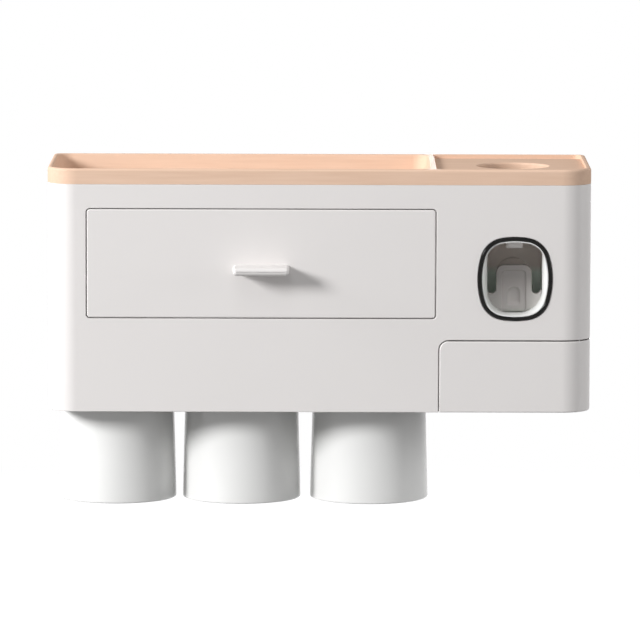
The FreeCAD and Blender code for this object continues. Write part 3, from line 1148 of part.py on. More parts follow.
inner_side = [(f"{radius} - dims.bellows_skin", height) for radius, height in reversed(outer_side)]
turned("pump_bellows", outer_side + inner_side, f"({PUMP_REAR} + dims.fit_gap)")

# Every object and every sub-part is checked before anything is written
doc.recompute()
failed = [thing.Name for thing in doc.Objects if {"Invalid", "Error"} & set(thing.State)]
if failed:
    raise RuntimeError("not computed: " + ", ".join(failed))
for thing in doc.Objects:
    if thing.TypeId in ("PartDesign::Pocket", "PartDesign::SubtractiveLoft"):
        if thing.Shape.Volume >= thing.BaseFeature.Shape.Volume:
            raise RuntimeError(thing.Name + " cuts nothing")
for thing in nodes:
    if thing.Shape.isNull() or not thing.Shape.isValid():
        raise RuntimeError(thing.Label + " has no valid shape")
os.makedirs("parts", exist_ok=True)
for thing in nodes:
    thing.Shape.exportStep(f"parts/{thing.Label}.step")
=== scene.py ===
import json
import math

import bmesh
import bpy
from mathutils import Matrix, Vector


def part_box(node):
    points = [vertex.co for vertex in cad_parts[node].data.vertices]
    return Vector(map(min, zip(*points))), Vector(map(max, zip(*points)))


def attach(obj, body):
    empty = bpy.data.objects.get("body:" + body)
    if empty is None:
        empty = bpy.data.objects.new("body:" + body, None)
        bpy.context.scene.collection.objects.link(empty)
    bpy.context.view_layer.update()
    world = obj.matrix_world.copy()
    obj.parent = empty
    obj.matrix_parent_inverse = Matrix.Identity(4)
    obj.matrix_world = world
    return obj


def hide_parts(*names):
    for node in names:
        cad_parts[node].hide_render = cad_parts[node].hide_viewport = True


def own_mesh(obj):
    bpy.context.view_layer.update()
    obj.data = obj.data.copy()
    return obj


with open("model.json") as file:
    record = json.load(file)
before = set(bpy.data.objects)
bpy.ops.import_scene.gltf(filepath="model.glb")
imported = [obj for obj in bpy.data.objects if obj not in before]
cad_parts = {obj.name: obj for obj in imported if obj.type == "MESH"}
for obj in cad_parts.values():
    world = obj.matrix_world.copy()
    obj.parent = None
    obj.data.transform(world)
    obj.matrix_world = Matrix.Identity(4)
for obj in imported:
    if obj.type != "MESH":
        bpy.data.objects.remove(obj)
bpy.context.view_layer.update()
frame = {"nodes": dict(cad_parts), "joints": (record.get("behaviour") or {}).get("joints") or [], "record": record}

MM = 0.001

# Case shell: one satin white ABS moulding, 2.6 mm thick, for the front and both sides; here a flat
# sheet with its openings cut and its edges rounded is bent round the two front corners. Screws hold
# it to the back panel, and a slim rib behind the brush flap's left edge is that flap's stop.
CASE_LOW, CASE_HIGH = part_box("case_shell")
CASE_HALF = CASE_HIGH.x
CASE_FRONT = -CASE_LOW.y
CASE_BACK = -CASE_HIGH.y
CASE_WALL = 2.6 * MM
CASE_CORNER = 17.0 * MM
CASE_EDGE = 0.45 * MM
CORNER_CUTS = 14
FLAT_HALF = CASE_HALF - CASE_CORNER
BEND = CASE_CORNER * math.pi / 2
SIDE_END = FLAT_HALF + BEND + CASE_FRONT - CASE_CORNER - CASE_BACK

PANEL_LOW, PANEL_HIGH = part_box("drawer_front")
DRAWER_SEAM = 0.5 * MM
DRAWER_ROUND = 2.4 * MM
FLAP_LOW, FLAP_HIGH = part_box("brush_cover")
FLAP_SEAM = 0.5 * MM
FLAP_ROUND = 6.0 * MM
FLAP_TOP = CASE_LOW.z + 42.6 * MM
RING_LOW, RING_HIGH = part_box("window_bezel")
WINDOW_X = (RING_LOW.x + RING_HIGH.x) / 2
WINDOW_Z = (RING_LOW.z + RING_HIGH.z) / 2
WINDOW_GAP = 0.2 * MM


class Wire:
    """A shader socket that can be used in Python arithmetic; each operator adds a Math node."""

    def __init__(self, tree, socket):
        self.tree = tree
        self.socket = socket

    def node(self, kind, settings=None, values=None, output=0):
        """Add any node: its settings first, then the values or wires of its sockets."""
        made = self.tree.nodes.new(kind)
        for key, value in (settings or {}).items():
            setattr(made, key, value)
        for key, value in (values or {}).items():
            if isinstance(value, Wire):
                self.tree.links.new(value.socket, made.inputs[key])
            else:
                made.inputs[key].default_value = value
        return Wire(self.tree, made.outputs[output])

    def math(self, operation, first, second):
        return self.node("ShaderNodeMath", {"operation": operation}, {0: first, 1: second})

    def __add__(self, other):
        return self.math("ADD", self, other)

    def __sub__(self, other):
        return self.math("SUBTRACT", self, other)

    def __mul__(self, other):
        return self.math("MULTIPLY", self, other)

    def __rsub__(self, other):
        return self.math("SUBTRACT", other, self)

    __radd__ = __add__
    __rmul__ = __mul__

    def between(self, low, high):
        """The wire's 0 to 1 spread over low to high."""
        return self * (high - low) + low

    def bump(self, strength, distance=0.0002):
        """A surface normal that the wire's ups and downs roughen."""
        values = {"Strength": strength, "Distance": distance, "Height": self}
        return self.node("ShaderNodeBump", None, values)

    def tint(self, low, high):
        """A colour that runs from low to high with the wire."""
        settings = {"data_type": "RGBA"}
        return self.node("ShaderNodeMix", settings, {0: self, 6: (*low, 1), 7: (*high, 1)}, output=2)


def new_finish(name, **constants):
    """A material with its Principled shader's constants set, and a wire of its object coordinates."""
    made = bpy.data.materials.new(name)
    made.use_nodes = True
    tree = made.node_tree
    shader = tree.nodes["Principled BSDF"]
    for key, value in constants.items():
        shader.inputs[key.replace("_", " ")].default_value = value
    place = Wire(tree, tree.nodes.new("ShaderNodeTexCoord").outputs["Object"])
    return made, shader, place


def grain(place, scale, detail=3.0, stretch=None):
    """Noise of about 1 / scale metres, drawn out along an axis by stretch."""
    if stretch is not None:
        place = place.node("ShaderNodeMapping", None, {"Vector": place, "Scale": stretch})
    return place.node("ShaderNodeTexNoise", None, {"Vector": place, "Scale": scale, "Detail": detail})


def drive(shader, **wires):
    """Link wires to the shader's sockets of those names."""
    for key, wire in wires.items():
        wire.tree.links.new(wire.socket, shader.inputs[key.replace("_", " ")])


def moulded(name, colour, roughness, shade=0.025, texture=0.05, texture_scale=2600.0, **constants):
    """Moulded plastic: a cloudy colour, a fine spark-eroded texture and handled, uneven gloss."""
    made, shader, place = new_finish(name, **constants)
    cloud = grain(place, 14.0)
    handled = grain(place, 70.0, 4.0)
    fine = grain(place, texture_scale, 2.0)
    dull = [channel * (1 - shade) for channel in colour]
    drive(
        shader,
        Base_Color=cloud.tint(dull, colour),
        Roughness=handled.between(roughness - 0.05, roughness + 0.06),
        Normal=fine.bump(texture),
    )
    return made


def shown(name, mesh, material, body, slot, *replaced):
    """Put a finished mesh in the scene as one piece of the object."""
    mesh.materials.clear()
    mesh.materials.append(material)
    piece = bpy.data.objects.new(name, mesh)
    bpy.context.scene.collection.objects.link(piece)
    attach(piece, body)
    if replaced:
        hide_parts(*replaced)
    return piece


def smooth(mesh, degrees):
    """Shade a mesh smooth but for the edges that turn by more than the given angle."""
    mesh.shade_smooth()
    mesh.set_sharp_from_angle(angle=math.radians(degrees))
    return mesh


def rounded(corners, steps=8):
    """Points of a closed outline: each corner is (x, z) or, rounded, (x, z, radius)."""
    points = []
    count = len(corners)
    for index, corner in enumerate(corners):
        here = Vector(corner[:2])
        if len(corner) == 2:
            points.append(here)
            continue
        before = (Vector(corners[index - 1][:2]) - here).normalized()
        after = (Vector(corners[(index + 1) % count][:2]) - here).normalized()
        half_turn = before.angle(after) / 2
        bisector = (before + after).normalized()
        centre = here + bisector * (corner[2] / math.sin(half_turn))
        start = here + before * (corner[2] / math.tan(half_turn)) - centre
        end = here + after * (corner[2] / math.tan(half_turn)) - centre
        sweep = start.angle_signed(end)
        for step in range(steps + 1):
            points.append(centre + Matrix.Rotation(-sweep * step / steps, 2) @ start)
    return points


def squircle(half_width, half_height, side, corner, steps=10):
    """Window outline about its middle: four bowed sides joined by four corner arcs, anticlockwise."""
    top = Vector((0, half_height - side))
    right = Vector((half_width - side, 0))
    across = right - top
    normal = Vector((across.y, -across.x)).normalized()
    rise = math.sqrt((side - corner) ** 2 - (across.length / 2) ** 2)
    centre = (top + right) / 2 + normal * rise
    turn_top = math.atan2(centre.y - top.y, centre.x - top.x)
    turn_right = math.atan2(centre.y - right.y, centre.x - right.x)
    quarter = []
    arcs = (
        (right, side, 0, turn_right),
        (centre, corner, turn_right, turn_top),
        (top, side, turn_top, math.pi / 2),
    )
    for middle, radius, start, end in arcs:
        for step in range(steps):
            turn = start + (end - start) * step / steps
            quarter.append(middle + radius * Vector((math.cos(turn), math.sin(turn))))
    quarter.append(Vector((0, half_height)))
    left = [Vector((-p.x, p.y)) for p in reversed(quarter[:-1])]
    upper = quarter + left
    return upper + [-p for p in upper[1:-1]]


def sheet(outlines, thickness, edge):
    """Flat sheet with rounded edges: x and z in its plane, depth behind its face along the third axis."""
    curve = bpy.data.curves.new("sheet", "CURVE")
    curve.dimensions = "2D"
    curve.fill_mode = "BOTH"
    curve.extrude = thickness / 2 - edge
    curve.bevel_depth = edge
    curve.bevel_resolution = 3
    curve.offset = -edge
    for points in outlines:
        spline = curve.splines.new("POLY")
        spline.points.add(len(points) - 1)
        for knot, point in zip(spline.points, points):
            knot.co = (point.x, point.y, 0, 1)
        spline.use_cyclic_u = True
    holder = bpy.data.objects.new("sheet", curve)
    mesh = bpy.data.meshes.new_from_object(holder)
    bpy.data.objects.remove(holder)
    form = bmesh.new()
    form.from_mesh(mesh)
    bmesh.ops.remove_doubles(form, verts=form.verts, dist=1e-6)
    for vert in form.verts:
        vert.co = (vert.co.x, vert.co.y, thickness / 2 - vert.co.z)
    bmesh.ops.reverse_faces(form, faces=form.faces)
    bpy.data.meshes.remove(mesh)
    return form


def bend(form):
    """Wrap a sheet round the front corners of the case: x runs along the outer face from the middle."""
    for step in range(CORNER_CUTS + 1):
        cut = FLAT_HALF + BEND * step / CORNER_CUTS
        for side in (-1, 1):
            everything = form.verts[:] + form.edges[:] + form.faces[:]
            bmesh.ops.bisect_plane(
                form, geom=everything, plane_co=(side * cut, 0, 0), plane_no=(1, 0, 0), dist=1e-7)
    for vert in form.verts:
        along, height, depth = vert.co
        side = math.copysign(1, along)
        along = abs(along)
        if along <= FLAT_HALF:
            x, y = along, depth - CASE_FRONT
        elif along <= FLAT_HALF + BEND:
            turn = (along - FLAT_HALF) / CASE_CORNER
            x = FLAT_HALF + (CASE_CORNER - depth) * math.sin(turn)
            y = CASE_CORNER - CASE_FRONT - (CASE_CORNER - depth) * math.cos(turn)
        else:
            x = CASE_HALF - depth
            y = CASE_CORNER - CASE_FRONT + along - FLAT_HALF - BEND
        vert.co = (side * x, y, height)
    return form


def finished(name, form, degrees=35):
    """A mesh from one form."""
    bmesh.ops.recalc_face_normals(form, faces=form.faces)
    mesh = bpy.data.meshes.new(name)
    form.to_mesh(mesh)
    form.free()
    return smooth(mesh, degrees)


def joined(name, forms, degrees=35):
    """One mesh from several forms."""
    whole = bmesh.new()
    for form in forms:
        bmesh.ops.recalc_face_normals(form, faces=form.faces)
        part = bpy.data.meshes.new("part")
        form.to_mesh(part)
        form.free()
        whole.from_mesh(part)
        bpy.data.meshes.remove(part)
    mesh = bpy.data.meshes.new(name)
    whole.to_mesh(mesh)
    whole.free()
    return smooth(mesh, degrees)


def even(piece):
    """Let the large faces set the shading, so that flat walls stay flat beside their rounded edges."""
    weigh = piece.modifiers.new("weigh", "WEIGHTED_NORMAL")
    weigh.keep_sharp = True


FLAP_SIDE_END = FLAT_HALF + BEND + FLAP_HIGH.y + CASE_FRONT - CASE_CORNER
case_outline = rounded([
    (-SIDE_END, CASE_LOW.z),
    (FLAP_LOW.x - FLAP_SEAM, CASE_LOW.z),
    (FLAP_LOW.x - FLAP_SEAM, FLAP_TOP + FLAP_SEAM, FLAP_ROUND),
    (FLAP_SIDE_END + FLAP_SEAM, FLAP_TOP + FLAP_SEAM),
    (FLAP_SIDE_END + FLAP_SEAM, CASE_LOW.z),
    (SIDE_END, CASE_LOW.z),
    (SIDE_END, CASE_HIGH.z),
    (-SIDE_END, CASE_HIGH.z),
])
drawer_opening = rounded([
    (PANEL_LOW.x - DRAWER_SEAM, PANEL_HIGH.z + DRAWER_SEAM, DRAWER_ROUND),
    (PANEL_HIGH.x + DRAWER_SEAM, PANEL_HIGH.z + DRAWER_SEAM, DRAWER_ROUND),
    (PANEL_HIGH.x + DRAWER_SEAM, PANEL_LOW.z - DRAWER_SEAM, DRAWER_ROUND),
    (PANEL_LOW.x - DRAWER_SEAM, PANEL_LOW.z - DRAWER_SEAM, DRAWER_ROUND),
])
RING_HALF_X = (RING_HIGH.x - RING_LOW.x) / 2
RING_HALF_Z = (RING_HIGH.z - RING_LOW.z) / 2
RING_SIDE = 48.0 * MM
RING_CORNER = 15.0 * MM
WINDOW_MIDDLE = Vector((WINDOW_X, WINDOW_Z))


def window_loop(inset, steps=10):
    """The window ring's outline, moved in by inset."""
    return [WINDOW_MIDDLE + p for p in squircle(
        RING_HALF_X - inset, RING_HALF_Z - inset, RING_SIDE - inset, RING_CORNER - inset, steps)]


window_opening = list(reversed(window_loop(-WINDOW_GAP)))
white_satin = moulded("white_satin", (0.76, 0.735, 0.725), 0.42, Specular_IOR_Level=0.4)
case_form = bend(sheet([case_outline, drawer_opening, window_opening], CASE_WALL, CASE_EDGE))
STOP_LAP = 1.9 * MM
STOP_THICK = 1.1 * MM
STOP_EDGE = 0.3 * MM
STOP_ROOT = 0.8 * MM
STOP_SUNK = 0.1 * MM
stop_left, stop_right = FLAP_LOW.x - FLAP_SEAM - STOP_ROOT, FLAP_LOW.x + STOP_LAP
stop_foot, stop_top = CASE_LOW.z + STOP_EDGE, FLAP_TOP - FLAP_ROUND
stop_outline = rounded([
    (stop_left, stop_foot), (stop_right, stop_foot, STOP_EDGE),
    (stop_right, stop_top, STOP_EDGE), (stop_left, stop_top),
])
flap_stop = sheet([stop_outline], STOP_THICK, STOP_EDGE)
for vert in flap_stop.verts:
    vert.co.z += CASE_WALL - STOP_SUNK
case_mesh = joined("case_wall", [case_form, bend(flap_stop)])
even(shown("case_wall", case_mesh, white_satin, "case", "white_plastic", "case_shell"))

# Drawer front: flat white panel, flush with the case, with a hairline seam all round.
# Two screws from inside hold it to the box behind.
PANEL_THICK = PANEL_HIGH.y - PANEL_LOW.y
PANEL_EDGE = 0.8 * MM
PANEL_ROUND = DRAWER_ROUND - DRAWER_SEAM
panel_outline = rounded([
    (PANEL_LOW.x, PANEL_LOW.z, PANEL_ROUND), (PANEL_HIGH.x, PANEL_LOW.z, PANEL_ROUND),
    (PANEL_HIGH.x, PANEL_HIGH.z, PANEL_ROUND), (PANEL_LOW.x, PANEL_HIGH.z, PANEL_ROUND)])


def upright(form, front):
    """Stand a flat sheet in the XZ plane with its face at the given y."""
    for vert in form.verts:
        vert.co = (vert.co.x, vert.co.z + front, vert.co.y)
    return form


panel_form = upright(sheet([panel_outline], PANEL_THICK, PANEL_EDGE), PANEL_LOW.y)
panel_mesh = finished("drawer_panel", panel_form)
even(shown("drawer_panel", panel_mesh, white_satin, "drawer", "white_plastic", "drawer_front"))

# Drawer handle: short solid bar of the same white plastic, its front and lower edges well
# rounded, pulled tight to the panel by two screws from inside the drawer.
HANDLE_LOW, HANDLE_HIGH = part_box("drawer_handle")
HANDLE_NOSE = 2.3 * MM
HANDLE_TOP_EDGE = 1.7 * MM
HANDLE_FOOT_EDGE = 2.1 * MM
LEAST_EDGE = 0.2 * MM
NOSE_STEPS = 7


def lofted(loops, closed=False):
    """Skin over loops of equal count; the ends are capped unless it closes on itself."""
    form = bmesh.new()
    rings = [[form.verts.new(point) for point in loop] for loop in loops]
    following = rings[1:] + rings[:1] if closed else rings[1:]
    for ring, after in zip(rings, following):
        for index in range(len(ring)):
            turn = (index + 1) % len(ring)
            form.faces.new((ring[index], ring[turn], after[turn], after[index]))
    if not closed:
        form.faces.new(rings[0])
        form.faces.new(rings[-1])
    return form


def handle_loop(inset, y):
    """The handle's outline at a depth, moved in by inset."""
    top = max(HANDLE_TOP_EDGE - inset, LEAST_EDGE)
    foot = max(HANDLE_FOOT_EDGE - inset, LEAST_EDGE)
    left, right = HANDLE_LOW.x + inset, HANDLE_HIGH.x - inset
    low, high = HANDLE_LOW.z + inset, HANDLE_HIGH.z - inset
    outline = rounded([(left, low, foot), (right, low, foot), (right, high, top), (left, high, top)])
    return [(p.x, y, p.y) for p in outline]


handle_loops = [handle_loop(0, HANDLE_HIGH.y)]
for step in range(NOSE_STEPS + 1):
    turn = math.pi / 2 * step / NOSE_STEPS
    inset, back = HANDLE_NOSE * (1 - math.cos(turn)), HANDLE_NOSE * (1 - math.sin(turn))
    handle_loops.append(handle_loop(inset, HANDLE_LOW.y + back))
handle_mesh = finished("handle_bar", lofted(handle_loops), degrees=50)
even(shown("handle_bar", handle_mesh, white_satin, "drawer", "white_plastic", "drawer_handle"))

# Brush flap: thin white panel that wraps round the right front corner, level with the case.
# Two goose-neck arms moulded on its back carry it up and out on steel pins.
FLAP_WALL = 2.2 * MM
FLAP_EDGE = 0.9 * MM
ARM_WIDTH = 3.0 * MM
ARM_HALF = 1.3 * MM
ARM_REACH = 9.7 * MM
ARM_DROP = 16.0 * MM
ARM_EDGE = 0.3 * MM
EYE_RADIUS = 2.0 * MM
SWING_RADIUS = 8.4 * MM
EYE_BORE = 1.07 * MM
ARM_INSET = 9.0 * MM
ARM_LEFTS = (FLAP_LOW.x + ARM_INSET, FLAT_HALF - ARM_INSET)
HINGE = Vector(next(j["pos_m"] for j in frame["joints"] if j["name"] == "flap_hinge"))
flap_outline = rounded([
    (FLAP_LOW.x, FLAP_LOW.z),
    (FLAP_SIDE_END, FLAP_LOW.z),
    (FLAP_SIDE_END, FLAP_TOP),
    (FLAP_LOW.x, FLAP_TOP, FLAP_ROUND - FLAP_SEAM),
])
eye_start = math.asin(ARM_HALF / EYE_RADIUS)
EYE_STEPS = 20
eye_points = []
for step in range(EYE_STEPS + 1):
    turn = eye_start + (2 * math.pi - 2 * eye_start) * step / EYE_STEPS
    eye_points.append((HINGE.y + EYE_RADIUS * math.cos(turn), HINGE.z + EYE_RADIUS * math.sin(turn)))
ARM_REAR = HINGE.y + ARM_REACH
ARM_FOOT = HINGE.z - ARM_DROP
ARM_ROOT = FLAP_LOW.y + FLAP_WALL / 2
arm_outline = rounded(eye_points + [
    (ARM_REAR - ARM_HALF, HINGE.z - ARM_HALF, ARM_HALF),
    (ARM_REAR - ARM_HALF, ARM_FOOT + ARM_HALF, ARM_HALF),
    (ARM_ROOT, ARM_FOOT + ARM_HALF),
    (ARM_ROOT, ARM_FOOT - ARM_HALF),
    (ARM_REAR + ARM_HALF, ARM_FOOT - ARM_HALF, 2 * ARM_HALF),
    (ARM_REAR + ARM_HALF, HINGE.z + ARM_HALF, 2 * ARM_HALF),
])
bore_outline = [Vector((HINGE.y + EYE_BORE * math.cos(-turn), HINGE.z + EYE_BORE * math.sin(-turn)))
                for turn in (2 * math.pi * step / EYE_STEPS for step in range(EYE_STEPS))]
flap_sheet = sheet([flap_outline], FLAP_WALL, FLAP_EDGE)
for vert in flap_sheet.verts:
    reach = CASE_FRONT + HINGE.y - vert.co.z
    vert.co.y = min(vert.co.y, HINGE.z - math.sqrt(SWING_RADIUS ** 2 - reach ** 2))
flap_forms = [bend(flap_sheet)]
for left in ARM_LEFTS:
    arm = sheet([arm_outline, bore_outline], ARM_WIDTH, ARM_EDGE)
    for vert in arm.verts:
        vert.co = (left + vert.co.z, vert.co.x, vert.co.y)
    flap_forms.append(arm)
flap_mesh = joined("flap_panel", flap_forms)
even(shown("flap_panel", flap_mesh, white_satin, "flap", "white_plastic", "brush_cover"))

# Window ring: high-gloss black plastic trim, moulded with softly rounded edges and pressed
# into the opening in the case front.
RING_BAND = 2.1 * MM
RING_PROUD = -CASE_FRONT - RING_LOW.y
RING_ROUND = 0.75 * MM
RING_STEPS = 5
LOOP_STEPS = 14
ring_edge = []
for step in range(RING_STEPS + 1):
    turn = math.pi / 2 * step / RING_STEPS
    ring_edge.append((RING_ROUND * (1 - math.cos(turn)), RING_ROUND * (1 - math.sin(turn)) - RING_PROUD))
ring_section = [(0.0, CASE_WALL)] + ring_edge
ring_section += [(RING_BAND - inset, depth) for inset, depth in reversed(ring_edge)]
ring_section.append((RING_BAND, CASE_WALL))
ring_loops = []
for inset, depth in ring_section:
    ring_loops.append([(p.x, depth - CASE_FRONT, p.y) for p in window_loop(inset, LOOP_STEPS)])
black_gloss = moulded(
    "black_gloss", (0.004, 0.0035, 0.003), 0.14, texture=0.01, Specular_IOR_Level=0.18)
ring_mesh = finished("window_ring", lofted(ring_loops, closed=True), degrees=50)
shown("window_ring", ring_mesh, black_gloss, "case", "black_gloss", "window_bezel")

# Window funnel: polished white liner that narrows from the ring to an arch-bottomed throat
# in front of the pump; it clips in behind the ring.
LINER_LOW, LINER_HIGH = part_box("window_liner")
LINER_DEPTH = LINER_HIGH.y - LINER_LOW.y
LINER_LIP = 0.6 * MM
LINER_SKIN = 0.9 * MM
THROAT_HALF_X = 16.2 * MM
THROAT_HALF_Z = 20.8 * MM
THROAT_TOP_ROUND = 8.0 * MM
THROAT_FOOT_ROUND = 13.5 * MM
FUNNEL_STEPS = 10
FUNNEL_BOW = 0.8
throat = rounded([
    (-THROAT_HALF_X, -THROAT_HALF_Z, THROAT_FOOT_ROUND),
    (THROAT_HALF_X, -THROAT_HALF_Z, THROAT_FOOT_ROUND),
    (THROAT_HALF_X, THROAT_HALF_Z, THROAT_TOP_ROUND),
    (-THROAT_HALF_X, THROAT_HALF_Z, THROAT_TOP_ROUND),
], steps=24)
PARALLEL = 1e-12
CORNER_SLACK = 1e-9


def meet(outline, towards):
    """Where a ray from the middle of an outline meets it."""
    for start, end in zip(outline, outline[1:] + outline[:1]):
        side = end - start
        cross = towards.x * side.y - towards.y * side.x
        if abs(cross) < PARALLEL:
            continue
        reach = (start.x * side.y - start.y * side.x) / cross
        along = (start.x * towards.y - start.y * towards.x) / cross
        if reach > 0 and -CORNER_SLACK <= along <= 1 + CORNER_SLACK:
            return towards * reach
    raise ValueError("the ray misses the outline")


mouth = [p - WINDOW_MIDDLE for p in window_loop(RING_BAND + WINDOW_GAP + LINER_LIP, LOOP_STEPS)]
sleeve = [p - WINDOW_MIDDLE for p in window_loop(RING_BAND + WINDOW_GAP, LOOP_STEPS)]
throat_loop = [meet(throat, p.normalized()) for p in mouth]
funnel_loops = []
for step in range(FUNNEL_STEPS + 1):
    share = step / FUNNEL_STEPS
    depth = LINER_LOW.y + LINER_DEPTH * share
    narrow = math.sin(share * math.pi / 2) ** FUNNEL_BOW if step else 0.0
    funnel_loops.append([(WINDOW_X + p.x, depth, WINDOW_Z + p.y) for p in (
        wide.lerp(tight, narrow) for wide, tight in zip(mouth, throat_loop))])
funnel_loops.append([(WINDOW_X + p.x, LINER_HIGH.y, WINDOW_Z + p.y) for p in (
    tight + tight.normalized() * LINER_SKIN for tight in throat_loop)])
funnel_loops.append([(WINDOW_X + p.x, LINER_LOW.y + LINER_DEPTH / 2, WINDOW_Z + p.y) for p in sleeve])
funnel_loops.append([(WINDOW_X + p.x, LINER_LOW.y, WINDOW_Z + p.y) for p in sleeve])
white_gloss = moulded("white_gloss", (0.82, 0.82, 0.81), 0.22, texture=0.015)
funnel_mesh = finished("window_funnel", lofted(funnel_loops, closed=True), degrees=40)
shown("window_funnel", funnel_mesh, white_gloss, "case", "white_gloss", "window_liner")

# Push lever: grey arched paddle with a sunk face and a shallow thumb channel, one moulding
# with the full-width foot that turns on a steel pin behind the funnel.
PIVOT = Vector(next(j["pos_m"] for j in frame["joints"] if j["name"] == "lever_tilt"))
LEVER_LOW, LEVER_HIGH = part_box("push_lever")
LEVER_HALF = (LEVER_HIGH.x - LEVER_LOW.x) / 2
LEVER_THICK = LEVER_HIGH.y - LEVER_LOW.y
LEVER_EDGE = 0.6 * MM
PADDLE_HALF = 10.6 * MM
PADDLE_ROUND = 5.0 * MM
FOOT_TOP = PIVOT.z + 8.6 * MM
FACE_INSET = 3.6 * MM
FACE_SUNK = 0.9 * MM
FACE_ROUND = 2.4 * MM
CHANNEL_HALF = 3.9 * MM
CHANNEL_TOP = PIVOT.z + 12.5 * MM
CHANNEL_DEEP = 1.4 * MM
CHANNEL_FOOT = PIVOT.z + 1.7 * MM
CHANNEL_RUN = 2.0 * MM
FOOT_SPREAD = 0.45 * MM
HORN_TIP = 0.2 * MM
SLOT_FLAT = 0.2 * MM
SLOT_ROUND = (LEVER_HALF - PADDLE_HALF - HORN_TIP - SLOT_FLAT) / 2
paddle_left, paddle_right = WINDOW_X - PADDLE_HALF, WINDOW_X + PADDLE_HALF
lever_left, lever_right = WINDOW_X - LEVER_HALF - FOOT_SPREAD, WINDOW_X + LEVER_HALF + FOOT_SPREAD
slot_left, slot_right = WINDOW_X - LEVER_HALF + HORN_TIP, WINDOW_X + LEVER_HALF - HORN_TIP
horn = FOOT_TOP + SLOT_ROUND
lever_foot = PIVOT.z - LEVER_THICK / 2
face_left, face_right = paddle_left + FACE_INSET, paddle_right - FACE_INSET
face_top = LEVER_HIGH.z - FACE_INSET
lever_outline = rounded([
    (lever_left, lever_foot), (face_left, lever_foot),
    (face_left, face_top, FACE_ROUND), (face_right, face_top, FACE_ROUND),
    (face_right, lever_foot), (lever_right, lever_foot),
    (lever_right, horn), (slot_right, horn),
    (slot_right, FOOT_TOP, SLOT_ROUND), (paddle_right, FOOT_TOP, SLOT_ROUND),
    (paddle_right, LEVER_HIGH.z, PADDLE_ROUND), (paddle_left, LEVER_HIGH.z, PADDLE_ROUND),
    (paddle_left, FOOT_TOP, SLOT_ROUND), (slot_left, FOOT_TOP, SLOT_ROUND),
    (slot_left, horn), (lever_left, horn),
])
FACE_COLUMNS = 36
FACE_ROWS = 48
face_form = bmesh.new()
face_half = PADDLE_HALF - FACE_INSET / 2
face_high = LEVER_HIGH.z - FACE_INSET / 2
face_grid = []
for row in range(FACE_ROWS + 1):
    z = lever_foot + (face_high - lever_foot) * row / FACE_ROWS
    line = []
    for column in range(FACE_COLUMNS + 1):
        across = face_half * (2 * column / FACE_COLUMNS - 1)
        arch = max(0.0, z - (CHANNEL_TOP - CHANNEL_HALF)) / CHANNEL_HALF
        span = (across / CHANNEL_HALF) ** 2 + arch ** 2
        fade = min(1.0, max(0.0, (z - CHANNEL_FOOT) / CHANNEL_RUN))
        dip = CHANNEL_DEEP * math.sqrt(max(0.0, 1 - span)) * fade
        line.append(face_form.verts.new((WINDOW_X + across, LEVER_LOW.y + FACE_SUNK + dip, z)))
    face_grid.append(line)
for lower, upper in zip(face_grid, face_grid[1:]):
    for column in range(FACE_COLUMNS):
        face_form.faces.new((lower[column], lower[column + 1], upper[column + 1], upper[column]))
made = bmesh.ops.extrude_face_region(face_form, geom=face_form.faces[:])
for vert in (v for v in made["geom"] if isinstance(v, bmesh.types.BMVert)):
    vert.co.y = LEVER_HIGH.y - LEVER_EDGE
lever_forms = [upright(sheet([lever_outline], LEVER_THICK, LEVER_EDGE), LEVER_LOW.y), face_form]
FOOT_RADIUS = LEVER_THICK / 2
FOOT_CUTS = 8
for form in lever_forms:
    for step in range(FOOT_CUTS):
        everything = form.verts[:] + form.edges[:] + form.faces[:]
        cut = (0, 0, PIVOT.z - FOOT_RADIUS * math.sin(math.pi / 2 * step / FOOT_CUTS))
        bmesh.ops.bisect_plane(form, geom=everything, plane_co=cut, plane_no=(0, 0, 1), dist=1e-7)
    for vert in form.verts:
        drop = min(PIVOT.z - vert.co.z, FOOT_RADIUS)
        if drop > 0:
            vert.co.y = PIVOT.y + (vert.co.y - PIVOT.y) * math.sqrt(1 - (drop / FOOT_RADIUS) ** 2)
grey_satin_painted_shade, grey_shader, grey_place = new_finish("grey_satin_painted_shade", Specular_IOR_Level=0.4)


def up_between(place, low, high):
    """0 below the height low, 1 above the height high, and a straight run between."""
    height = place.node("ShaderNodeSeparateXYZ", None, {0: place}, output=2)
    return height.node(
        "ShaderNodeMapRange", {"clamp": True}, {0: height, 1: low, 2: high, 3: 0.0, 4: 1.0})


# Painted shade on the lever's grey: the colour darkens toward the top, where the funnel's upper edge shades the
# paddle, and is lightest at the foot.
PAINTED_SHADE_TOP = FOOT_TOP + 10.0 * MM
grey_painted_shade = up_between(grey_place, PIVOT.z, PAINTED_SHADE_TOP)
grey_cloud = grain(grey_place, 70.0, 4.0)
grey_fine = grain(grey_place, 2600.0, 2.0)
drive(
    grey_shader,
    Base_Color=(grey_painted_shade * 0.9 + grey_cloud * 0.1).tint((0.79, 0.72, 0.725), (0.37, 0.34, 0.335)),
    Roughness=grey_cloud.between(0.32, 0.44),
    Normal=grey_fine.bump(0.05),
)
lever_mesh = joined("lever_paddle", lever_forms)
even(shown("lever_paddle", lever_mesh, grey_satin_painted_shade, "lever", "grey_plastic", "push_lever"))

# Hanging cups: polished white tumblers, mouth down, slightly drafted, with a rounded foot and a
# steel disc let into it that the magnet above holds.
CUP_SEGMENTS = 96
CUP_DRAFT = 2.3 * MM
CUP_WALL = 2.2 * MM
CUP_BASE = 3.4 * MM
CUP_FOOT_ROUND = 4.0 * MM
CUP_LIP = 0.95 * MM
SEAT_RADIUS = 14.2 * MM
SEAT_DEPTH = 1.2 * MM


def arc(centre, radius, start, end, steps=4):
    """Points (radius from the axis, height) along an arc, angles in degrees."""
    turns = [math.radians(start + (end - start) * s / steps) for s in range(steps + 1)]
    return [(centre[0] + radius * math.cos(turn), centre[1] + radius * math.sin(turn)) for turn in turns]


